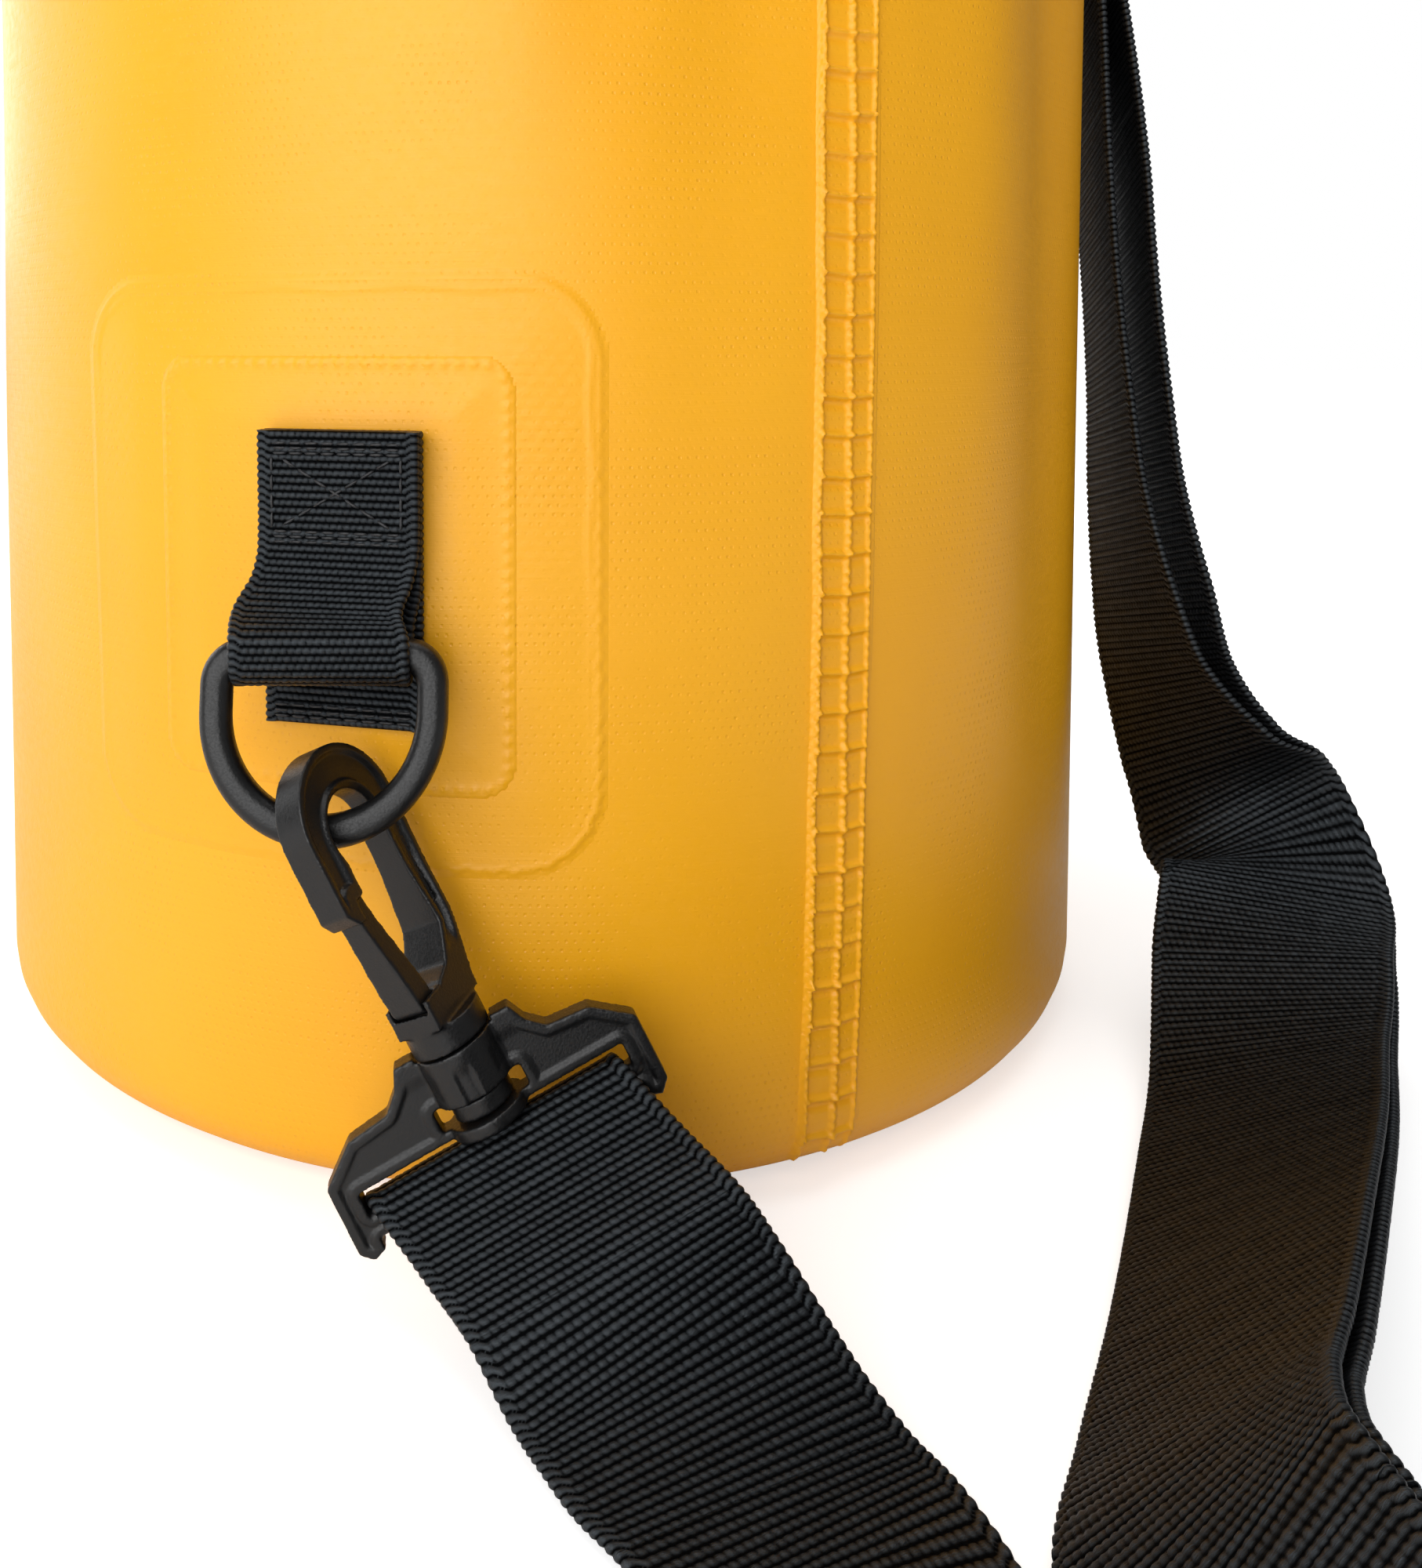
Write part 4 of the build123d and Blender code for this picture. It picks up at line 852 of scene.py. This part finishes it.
def floor_stations():
    """Single layer down to the floor and along it, round the hairpin and back to the tri-glide."""
    stations = [
        (Vector((12.8, -141.3, 10.1)), Vector((-0.873, -0.274, -0.404))),
        (Vector((16.9, -145.3, 6.2)), Vector((-0.911, -0.318, -0.259))),
        (Vector((20.6, -149.9, 3.8)), Vector((-0.916, -0.371, -0.144))),
        (Vector((24.7, -154.3, 1.9)), Vector((-0.92, -0.389, -0.042))),
        (Vector((29.6, -161.5, 1.1)), Vector((-0.9, -0.43, 0.0))),
        on_floor(31.4, -170.0, (0.12, -1.0), 2),
        on_floor(28.4, -181.0, (-0.2, -1.0), 12),
        on_floor(25.8, -193.0, (-0.1, -1.0), 26),
        on_floor(26.2, -212.0, (0.04, -1), 41),
        on_floor(HAIRPIN_X, -235.0, (0, -1), 50),
        on_floor(HAIRPIN_X, -258.0, (0, -1), 66),
        on_floor(HAIRPIN_X, HAIRPIN_Y, (0, -1), HAIRPIN_BANK),
    ]
    radius = (GLIDE_CENTRE[0] - HAIRPIN_X) / 2
    for step in range(1, 9):
        angle = radians(180 + 22.5 * step)
        x, y = HAIRPIN_X + radius + radius * cos(angle), HAIRPIN_Y + radius * sin(angle)
        stations.append(on_floor(x, y, (-sin(angle), cos(angle)), HAIRPIN_BANK))
    stations.append(on_floor(GLIDE_CENTRE[0], GLIDE_CENTRE[1] - 2 * GLIDE_REACH, (0, 1), 70, 1, GLIDE_LIFT / 3))
    weave = glide_stations(weave_profile())
    stations.append((weave[0][0] - Vector((0, GLIDE_REACH / 4, 0)), weave[0][1]))
    return stations + weave


def riser_stations():
    """Doubled strap from the tri-glide along the floor, then up the right side of the bag."""
    x, still = GLIDE_CENTRE[0], GLIDE_CENTRE[1] + GLIDE_STILL
    stations = [
        on_floor(x, still, (0, 1), GLIDE_BANK, 2, GLIDE_LIFT),
        on_floor(x, still + 3, (0, 1), GLIDE_BANK, 2, GLIDE_LIFT),
        on_floor(x + 0.3, -179.5, (0.18, 0.98), 53, 2, 0.9 * GLIDE_LIFT),
        on_floor(64.0, -169.0, (0.38, 0.92), 49, 2, 0.6 * GLIDE_LIFT),
        on_floor(71.8, -156.5, (0.49, 0.87), 46, 2, 0.2 * GLIDE_LIFT),
        on_floor(84.0, -137.5, (0.5, 0.87), 42, 2),
        on_floor(103.0, -106.0, (0.48, 0.88), 32, 2),
    ]
    for px, py, pz, heading, bank in (
        (115.5, -84.0, 12.4, (0.5, 0.87), 26),
        (124.2, -67.5, 20.0, (0.42, 0.91), 15),
        (132.6, -48.5, 32.2, (0.2, 0.98), 2),
    ):
        stations.append((Vector((px, py, pz)), banked(heading, bank)))
    for px, py, pz, twist in (
        (129.6, -43.5, 39.0, 34),
        (123.8, -39.5, 49.0, 62),
        (118.9, -35.0, 62.0, 80),
        (116.1, -31.0, 78.0, 89),
        (114.5, -27.0, 96.0, 96),
        (114.0, -24.0, 114.0, 100),
        (113.6, -21.0, 131.0, 102),
        (113.0, -16.0, 160.0, 102),
        (112.4, -11.0, 190.0, 100),
    ):
        stations.append((Vector((px, py, pz)), Vector((cos(radians(twist)), -sin(radians(twist)), 0))))
    return stations


def joined(start, start_along, end, end_along):
    """Stations between two (centre, edge) ends that leave in the given directions."""
    first, last = start[0] + start_along * 1.5, end[0] - end_along * 1.5
    pull = (last - first).length
    stations = [start]
    for share in (0, 0.25, 0.5, 0.75, 1):
        near = first + start_along * pull * share / 3
        far = last - end_along * pull * (1 - share) / 3
        blend = share * share * (3 - 2 * share)
        centre = near * (1 - blend) + far * blend
        stations.append((centre, start[1] * (1 - blend) + end[1] * blend))
    return stations + [end]


class StrapEnd:
    """Webbing wrapped round a yoke's bar and pulled in a direction, a little askew at the lower one."""

    def __init__(self, yoke, pull):
        self.across = yoke.to_3x3() @ Vector((1, 0, 0))
        self.along = Vector(pull).normalized()
        self.bar = yoke @ Vector((0, 0, YOKE_BAR))
        self.end = self.bar + self.along * SEWN_END
        self.square = self.along.cross(self.across).normalized()

    def eye(self, radius, gap, reach):
        """Stations from one leg, round the bar and along the other leg; gap parts the layers."""
        stations = []
        legs = ((reach, gap), (reach * 0.55, gap), (3.1 * radius, gap), (1.2 * radius, 0.72 * radius))
        for along, out in legs:
            stations.append((self.bar + self.along * along + self.square * out, self.across))
        for i in range(7):
            angle = pi / 2 + pi * i / 6
            around = self.along * (radius * cos(angle)) + self.square * (radius * sin(angle))
            stations.append((self.bar + around, self.across))
        for along, out in legs[::-1]:
            stations.append((self.bar + self.along * along - self.square * out, self.across))
        return stations


LOWER_END = StrapEnd(LOWER.yoke, (0.62, -0.72, -0.31))
UPPER_END = StrapEnd(UPPER.yoke, (0, 0, -1))
EYE_RADIUS = 2.2 + STRAP_THICKNESS / 2


def direction(stations, i):
    return (stations[i + 1][0] - stations[i][0]).normalized()


def bend_run(name, run, cuts, bodies, **look):
    """Strap that follows a ring, hook and yoke in turn: a piece for each joint, cut at rows."""
    made = []
    for i, (first, last) in enumerate(zip(cuts, cuts[1:])):
        part = webbing(f"{name}_{i + 1}", run, STRAP, STRAP_THICKNESS, first=first, last=last, **look)
        a, b = bodies[i], bodies[i + 1]
        if a == b:
            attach(part, a)
        else:
            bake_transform(part)
        made.append(part)
    return made


def lower_strap():
    wrapped = LOWER_END.eye(EYE_RADIUS, STRAP_THICKNESS / 2, SEWN_END)[::-1]
    run = Run([(point, -edge) for point, edge in wrapped] + floor_stations(), STRAP_STEP, sheared=True)
    reach = (run.centre - np.array(LOWER_END.bar)) @ np.array(LOWER_END.along)
    apex = int(np.argmin(reach[:225]))
    sewn = apex + int(np.argmax(reach[apex:] > SEWN_END))
    length = run.row(lambda c: c[:, 1] < -215)
    cuts = [sewn + int((length - sewn) * share) for share in (0, 0.3, 0.62, 1)]
    bodies = ("lower_yoke", "lower_hook", "lower_ring", "bag")
    parts = bend_run("strap_landing", run, cuts, bodies, columns=124)
    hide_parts("lower_strap_run")
    glide_y = GLIDE_CENTRE[1] - GLIDE_REACH
    turn_row = run.row(lambda c: c[:, 1] < -290)
    back_row = run.row(lambda c: (np.arange(len(c)) > turn_row) & (c[:, 1] > glide_y))
    hairpin = webbing("strap_hairpin", run, STRAP, STRAP_THICKNESS, first=length, last=back_row, columns=72)
    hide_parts("strap_floor_run")
    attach(hairpin, "bag")
    end = webbing("lower_strap_fold", run, STRAP, STRAP_THICKNESS, last=sewn, columns=124)
    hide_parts("lower_strap_end")
    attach(end, "lower_yoke")
    return run, back_row


def glide_pieces(run, back_row):
    """Strap woven through the tri-glide, its sewn tail and the returning outer layer."""
    joint = (Vector(run.centre[back_row]), Vector(run.across[back_row]))
    profile = weave_profile()[1:] + [(GLIDE_STILL, WEAVE_UNDER)]
    weave = Run([joint] + glide_stations(profile), STRAP_STEP)
    middle = weave.row(lambda c: c[:, 1] > GLIDE_CENTRE[1])
    look = dict(columns=84)
    near = webbing("glide_weave_1", weave, STRAP, STRAP_THICKNESS, first=0, last=middle, **look)
    far = webbing("glide_weave_2", weave, STRAP, STRAP_THICKNESS, first=middle, **look)
    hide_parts("glide_strap_run")
    at = glide_frame().translation
    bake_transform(near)
    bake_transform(far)
    deep = WEAVE_UNDER + LAYER_PITCH
    radius = GLIDE_EYE - STRAP_THICKNESS / 2
    around = [(radius * -sin(pi * i / 6), -radius * cos(pi * i / 6)) for i in range(7)]
    sewn = [(4.0, radius * 1.02), (9.0, WEAVE_UNDER + 1.5), (GLIDE_REACH, deep)]
    tail = [(9.0, -radius * 0.7), (4.0, -radius)] + around + sewn
    folded = Run(glide_stations(tail), STRAP_STEP)
    eye = webbing("glide_tail", folded, STRAP, STRAP_THICKNESS, **look, seed=9)
    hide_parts("glide_strap_end")
    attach(eye, "tri_glide")
    back = Run(glide_stations([(GLIDE_REACH, deep), (28.0, deep), (GLIDE_STILL, deep)]), STRAP_STEP)
    layer = webbing("glide_return", back, STRAP, STRAP_THICKNESS, **look, seed=10)
    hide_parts("glide_return_run")
    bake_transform(layer)


def upper_strap():
    riser = riser_stations()
    to_yoke = joined(riser[-1], direction(riser, -2), (UPPER_END.end, UPPER_END.across), -UPPER_END.along)
    run = Run(riser[:-1] + to_yoke, RISER_STEP)
    rows = [0, run.row(lambda c: c[:, 1] > -122)]
    rows += [run.row(lambda c, z=z: c[:, 2] > z) for z in (27.0, 62.0, 112.0, 168.0)]
    rows += [len(run.at) - 1]
    bodies = ("bag", "bag", "bag", "bag", "upper_ring", "upper_hook", "upper_yoke")
    height = run.centre[:, 2]
    apart = smooth_share(height, 40, 80) * (1 - smooth_share(height, 150, 215))
    sides = (
        ("riser_inner", 1, "strap_inner_layer", "upper_inner_run"),
        ("riser_outer", -1, "strap_outer_layer", "upper_outer_run"),
    )
    for name, side, low_node, high_node in sides:
        shift = side * LAYER_PITCH / 2 - (LAYERS_APART * apart if side < 0 else 0)
        parts = bend_run(name, run, rows, bodies, shift=shift, columns=96, seed=20 + side)
        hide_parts(low_node)
        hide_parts(high_node)
    parted = Run(UPPER_END.eye(EYE_RADIUS, LAYER_PITCH / 2, SEWN_END), STRAP_STEP)
    end = webbing("upper_strap_fold", parted, STRAP, STRAP_THICKNESS, columns=90, seed=30)
    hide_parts("upper_strap_loop")
    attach(end, "upper_yoke")


# ---- moulded parts
RING_NARROWING = 0.93
SOFTENING_ROUNDS = 3
FINE_VOXEL, VOXEL, COARSE_VOXEL = 0.26, 0.3, 0.34


def moulded(name, node, body, voxel, adjust=None, carve=None):
    """The CAD node's shape as a moulding: one skin over it with soft edges, moved or carved a little."""
    source = frame["nodes"][node].data
    points = [tuple(adjust @ v.co) if adjust else v.co[:] for v in source.vertices]
    mesh = bpy.data.meshes.new(name)
    mesh.from_pydata(points, [], [list(p.vertices) for p in source.polygons])
    rough = bpy.data.objects.new(name + "_rough", mesh)
    bpy.context.collection.objects.link(rough)
    remesh = rough.modifiers.new("remesh", "REMESH")
    remesh.mode = "VOXEL"
    remesh.voxel_size = voxel * MM
    soften = rough.modifiers.new("soften", "SMOOTH")
    soften.factor = 0.5
    soften.iterations = SOFTENING_ROUNDS
    graph = bpy.context.evaluated_depsgraph_get()
    final = bpy.data.meshes.new_from_object(rough.evaluated_get(graph))
    bpy.data.objects.remove(rough)
    obj = bpy.data.objects.new(name, final)
    bpy.context.collection.objects.link(obj)
    if carve:
        placed, change = carve
        into = np.array(placed.inverted())
        back = np.array(placed)
        here = np.zeros(len(final.vertices) * 3)
        final.vertices.foreach_get("co", here)
        local = here.reshape(-1, 3) / MM @ into[:3, :3].T + into[:3, 3]
        moved = change(local) @ back[:3, :3].T + back[:3, 3]
        final.vertices.foreach_set("co", (moved * MM).ravel())
        final.update()
    final.materials.clear()
    final.materials.append(PLASTIC)
    final.polygons.foreach_set("use_smooth", [True] * len(final.polygons))
    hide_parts(node)
    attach(obj, body)


def ring_narrowing():
    """Draws the lower ring in across, about a line to the right of its bar's middle."""
    pivot = (Vector(LOWER_BAR) + Vector((6.0, 0, 0))) * MM
    narrower = Matrix.Scale(RING_NARROWING, 4, (1, 0, 0))
    return Matrix.Translation(pivot) @ narrower @ Matrix.Translation(-pivot)


def rim_recess(local, half, rim, depth, low, high):
    """Sinks the two flat faces of a plate of given half thickness inside a rim along its outline."""
    thick = np.abs(local[:, 1])
    within = (local[:, 2] > low) & (local[:, 2] < high)
    edge = np.flatnonzero(within & (thick < 0.62 * half))
    face = np.flatnonzero(within & (thick > 0.8 * half))
    tree = KDTree(len(edge))
    for i in edge:
        tree.insert((local[i, 0], local[i, 2], 0), int(i))
    tree.balance()
    gap = np.array([tree.find((local[i, 0], local[i, 2], 0))[2] for i in face])
    ends = smooth_share(local[face, 2], low, low + 2) * (1 - smooth_share(local[face, 2], high - 3, high))
    sunk = depth * smooth_share(gap, rim, rim + 0.6) * ends
    carved = local.copy()
    carved[face, 1] -= np.sign(local[face, 1]) * sunk
    return carved


def carve_hook(local):
    """Hook with a rim round its web, thinner towards its nose."""
    carved = rim_recess(local, half=3.5, rim=0.85, depth=0.95, low=-3.0, high=32.0)
    carved[:, 1] *= 1 - 0.36 * (1 - smooth_share(local[:, 2], 17, 31))
    return carved


def carve_gate(local):
    carved = local.copy()
    carved[:, 1] *= 1 - 0.3 * (1 - smooth_share(local[:, 2], 20, 33))
    return carved


def carve_yoke(local):
    """Yoke with a slightly raised border."""
    return rim_recess(local, half=1.6, rim=1.1, depth=0.35, low=43.0, high=62.0)


def hard_parts():
    for side, places in (("lower", LOWER), ("upper", UPPER)):
        carves = {
            "hook": (places.hook, carve_hook),
            "gate": (places.hook, carve_gate),
            "yoke": (places.yoke, carve_yoke),
        }
        for part in ("ring", "hook", "gate", "yoke"):
            node = f"{side}_{part}"
            voxel = FINE_VOXEL if side == "lower" else COARSE_VOXEL
            adjust = ring_narrowing() if node == "lower_ring" else None
            moulded(node + "_moulding", node, node, voxel, adjust=adjust, carve=carves.get(part))
    moulded("tri_glide_moulding", "tri_glide", "tri_glide", VOXEL)
    moulded("buckle_socket", "buckle_female", "bag", COARSE_VOXEL)
    moulded("buckle_plug", "buckle_male", "buckle_male", COARSE_VOXEL)
    moulded("latch_front_arm", "latch_front", "latch_front", VOXEL)
    moulded("latch_back_arm", "latch_back", "latch_back", VOXEL)


# ---- rolled mouth
ROLL_STEP = 2.5
ROLL_TURN = 115


def roll_path_points():
    """Middle line of the roll from left tip to right tip, with directions, in the XZ plane."""
    bend = radians(ROLL_TURN) * ROLL_BEND
    tip_length = pi * BAG_RADIUS / 2 - ROLL_FLAT_HALF - bend
    total = ROLL_FLAT_HALF + bend + tip_length
    reach = np.linspace(-total, total, int(2 * total / ROLL_STEP) + 1)
    side = np.sign(reach)
    bent = np.clip(np.abs(reach) - ROLL_FLAT_HALF, 0, bend)
    turn = bent / ROLL_BEND
    rest = np.maximum(np.abs(reach) - ROLL_FLAT_HALF - bent, 0)
    x = np.clip(reach, -ROLL_FLAT_HALF, ROLL_FLAT_HALF) + side * (ROLL_BEND * np.sin(turn) + rest * np.cos(turn))
    z = ROLL_AXIS_Z + ROLL_BEND - ROLL_BEND * np.cos(turn) + rest * np.sin(turn)
    centre = np.stack([x, np.zeros_like(x), z], -1)
    along = np.stack([np.cos(turn), np.zeros_like(x), side * np.sin(turn)], -1)
    return reach, centre, along


def rolled_mouth():
    """Mouth rolled up flat in turns of cloth round its stiffener; the ends show the coil."""
    reach, centre, along = roll_path_points()
    turns, per_turn, sheet = 2.6, 26, 1.15
    count = int(turns * per_turn)
    angle = np.linspace(0.1, 2 * pi * turns, count)
    level = angle / (2 * pi)
    half_wide = 12.4 + 0.98 * level
    half_high = 1.9 + 1.55 * level
    squareness = 0.62
    c, s = np.cos(angle - 0.5), np.sin(angle - 0.5)
    wide = half_wide * np.sign(c) * np.abs(c) ** squareness
    high = half_high * np.sign(s) * np.abs(s) ** squareness
    line = np.stack([wide, high], -1)
    tangent = unit(np.gradient(line, axis=0))
    square = np.stack([-tangent[:, 1], tangent[:, 0]], -1)
    outer, inner = line - square * sheet / 2, line + square * sheet / 2
    loop = np.concatenate([outer, inner[::-1]])
    distance = np.concatenate([[0], np.cumsum(np.linalg.norm(np.diff(line, axis=0), axis=1))])
    cloth_across = np.concatenate([distance, distance[::-1]])
    up = np.stack([-along[:, 2], 0 * reach, along[:, 0]], -1)
    side = np.array([0, 1.0, 0])
    sag = 0.35 * np.sin(reach / 9.0)[:, None] * np.cos(loop[:, 0] / 6.0)[None, :]
    sag = sag + 0.2 * np.sin(reach / 4.3 + 1)[:, None]
    tips = 1 - 0.06 * smooth_share(np.abs(reach), 150, 170)[:, None]
    level = (loop[:, 1][None, :] + 0.5 * sag * np.sign(loop[:, 1])[None, :]) * tips
    points = centre[:, None, :] + side * (loop[:, 0][None, :] * tips)[..., None] + up[:, None, :] * level[..., None]
    rows, ring = points.shape[:2]
    faces = [f[::-1] for f in grid_faces(rows, ring, ring=True)]
    half = ring // 2
    for row in (0, rows - 1):
        for i in range(half - 1):
            quad = [row * ring + j for j in (i, i + 1, ring - 2 - i, ring - 1 - i)]
            faces.append(quad if row == 0 else quad[::-1])
    cloth = np.stack(np.broadcast_arrays(cloth_across[None, :], reach[:, None]), -1).reshape(-1, 2)
    roll = piece("rolled_mouth_skin", points.reshape(-1, 3), faces, TARPAULIN, cloth)
    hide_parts("mouth_roll")
    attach(roll, "bag")


def stiffener():
    strip = frame["nodes"]["mouth_stiffener"]
    strip.data.materials.clear()
    strip.data.materials.append(STIFFENER)


# ---- closure tabs and upper webbing
BUCKLE_Z = 402.5
BUCKLE_BAR = 28.5


def closure_tabs():
    """Webbing from each end of the roll, round the buckle's bar and back on itself."""
    _, centre, along = roll_path_points()
    tip, lean = Vector(centre[-1]), Vector(along[-1])
    radius = 1.6 + 0.25 + NARROW_THICKNESS / 2
    edge = Vector((0, 1, 0))
    half = NARROW_THICKNESS / 2
    for side, name, node in ((-1, "left", "closure_tab_left"), (1, "right", "closure_tab_right")):
        line = [
            (tip + lean * 0.1, lean.cross(edge)),
            (tip + lean * 6, lean.cross(edge)),
            (Vector((69.5, 0, BUCKLE_Z - 3.4)), Vector((-0.45, 0, -0.89))),
            (Vector((61.0, 0, BUCKLE_Z - 0.4)), Vector((-0.12, 0, -0.99))),
            (Vector((50.0, 0, BUCKLE_Z)), Vector((0, 0, -1))),
            (Vector((37.5, 0, BUCKLE_Z)), Vector((0, 0, -1))),
        ]
        upper = [(p - n * half if n.z < 0 else p + n * half) for p, n in line]
        lower = [(p + n * half if n.z < 0 else p - n * half) for p, n in line]
        bar = Vector((BUCKLE_BAR, 0, BUCKLE_Z))
        eye = []
        for i in range(9):
            angle = radians(40 + 280 * i / 8)
            eye.append(bar + Vector((radius * cos(angle), 0, radius * sin(angle))))
        path = [Vector((side * p.x, p.y, p.z)) for p in upper + eye + lower[::-1]]
        run = Run([(p, edge) for p in path], HIDDEN_STEP)
        weave = dict(slot="narrow_webbing", columns=44, yarn=1.3, seed=40 + side)
        tab = webbing(f"closure_webbing_{name}", run, NARROW, NARROW_THICKNESS, **weave)
        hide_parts(node)
        if side < 0:
            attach(tab, "bag")
        else:
            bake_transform(tab)


def upper_webbing():
    """Webbing sewn on the outside of the roll's right bend, folded under the upper ring's bar."""
    surface = ROLL_BEND + ROLL_THICKNESS / 2 + 0.05
    bend_centre = Vector((ROLL_FLAT_HALF, 0, ROLL_AXIS_Z + ROLL_BEND))

    def on_bend(turn, out):
        angle = radians(turn)
        return bend_centre + Vector((sin(angle), 0, -cos(angle))) * (surface + out)

    bar = Vector((0, 1, 0))
    half = NARROW_THICKNESS / 2
    stations = [(on_bend(t, 3 * half), bar) for t in (102, 94, 86, 79)]
    stations += fold_round(Vector(UPPER_BAR), Vector((1, 0, 0)), bar)
    stations += [(on_bend(t, half), bar) for t in (79, 86, 94, 102)]
    run = Run(stations, HIDDEN_STEP)
    weave = dict(slot="narrow_webbing", columns=50, yarn=1.2, seed=50)
    loop = webbing("upper_ring_webbing", run, NARROW, NARROW_THICKNESS, **weave)
    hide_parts("upper_loop")
    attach(loop, "bag")

    per_degree = radians(1) * (surface + 2 * half)

    def place_scaled(across, up, height):
        return on_bend(up / per_degree, 4 * half - THREAD_SINK + height) + bar * across

    lines = []
    for turn in (82.0, 82.8, 99.0, 99.8):
        lines.append(((-SEWN_HALF, turn * per_degree), (SEWN_HALF, turn * per_degree)))
    for sign in (-1, 1):
        lines.append(((-sign * 8, 84 * per_degree), (sign * 8, 97.5 * per_degree)))

    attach(stitches("upper_stitches", lines, place_scaled), "bag")


# ---- stage, light and camera
LIGHT_AIM = (0, 0, 0.15)
SURROUND_LIGHT = 0.13
CAMERA_DIP = 3.03


def stage():
    """Plain white floor that shows a soft shadow, and an even white surround."""
    mesh = bpy.data.meshes.new("floor")
    size = 6.0
    corners = [(x * size, y * size, 0) for x, y in ((-1, -1), (1, -1), (1, 1), (-1, 1))]
    mesh.from_pydata(corners, [], [(0, 1, 2, 3)])
    floor = bpy.data.objects.new("floor", mesh)
    floor.location.z = -0.0004
    bpy.context.collection.objects.link(floor)
    s = Surface("floor", 0.9, 0.1)
    s.finish((0.9, 0.9, 0.9, 1.0))
    glow = s.tree.nodes.new("ShaderNodeEmission")
    glow.inputs["Color"].default_value = (1, 1, 1, 1)
    rays = s.tree.nodes.new("ShaderNodeLightPath")
    seen = s.math("MAXIMUM", rays.outputs["Is Camera Ray"], rays.outputs["Is Transmission Ray"])
    away = s.add("VectorMath", {0: s.place()}, "Value", operation="LENGTH")
    s.put(glow.inputs["Strength"], s.times(seen, s.spread(away, 0.14, 0.5, 0.55, 1.0)))
    both = s.tree.nodes.new("ShaderNodeAddShader")
    s.put(both.inputs[0], s.shader.outputs[0])
    s.put(both.inputs[1], glow.outputs[0])
    output = s.tree.nodes["Material Output"]
    s.put(output.inputs["Surface"], both.outputs[0])
    mesh.materials.append(s.material)


def world():
    surround = bpy.data.worlds.new("surround")
    surround.use_nodes = True
    bpy.context.scene.world = surround
    tree = surround.node_tree
    background = tree.nodes["Background"]
    background.inputs["Color"].default_value = (1, 1, 1, 1)
    rays = tree.nodes.new("ShaderNodeLightPath")
    clear = tree.nodes.new("ShaderNodeMath")
    clear.operation = "MAXIMUM"
    tree.links.new(rays.outputs["Is Camera Ray"], clear.inputs[0])
    tree.links.new(rays.outputs["Is Transmission Ray"], clear.inputs[1])
    level = tree.nodes.new("ShaderNodeMapRange")
    level.inputs["To Min"].default_value = SURROUND_LIGHT
    level.inputs["To Max"].default_value = 1.0
    tree.links.new(clear.outputs[0], level.inputs["Value"])
    tree.links.new(level.outputs[0], background.inputs["Strength"])


def lamp(name, place, size, watts):
    data = bpy.data.lights.new(name, "AREA")
    data.shape = "RECTANGLE"
    data.size, data.size_y = size
    data.energy = watts
    obj = bpy.data.objects.new(name, data)
    obj.location = place
    obj.rotation_mode = "QUATERNION"
    obj.rotation_quaternion = (Vector(LIGHT_AIM) - Vector(place)).to_track_quat("-Z", "Y")
    bpy.context.collection.objects.link(obj)


def lights():
    lamp("key", (-0.45, -1.05, 0.5), (1.4, 1.2), 14.2)
    lamp("side", (-1.0, 0.4, 0.36), (1.1, 1.0), 5)
    lamp("fill", (0.95, -0.75, 0.35), (0.9, 0.9), 0.35)
    lamp("top", (0.1, 0.1, 1.3), (1.2, 1.2), 8)
    lamp("back", (-0.7, 0.9, 0.6), (0.8, 0.8), 4)


def camera():
    data = bpy.data.cameras.new("camera")
    data.sensor_width = 36
    data.lens = 31.27
    data.shift_x, data.shift_y = 0.1053, -0.235
    data.clip_start = 0.01
    obj = bpy.data.objects.new("camera", data)
    obj.location = (0.0008, -0.2946, 0.1253)
    obj.rotation_euler = (radians(90 - CAMERA_DIP), 0, 0)
    bpy.context.collection.objects.link(obj)
    bpy.context.scene.camera = obj


# ---- whole scene
camera()
stage()
world()
lights()
bag_shell()
bag_base()
welded_seam()
outer_patch()
inner_patch()
ring_webbing()
ring_stitches()
strap_run, glide_row = lower_strap()
glide_pieces(strap_run, glide_row)
upper_strap()
hard_parts()
rolled_mouth()
stiffener()
closure_tabs()
upper_webbing()

bpy.context.scene.view_settings.view_transform = "Standard"
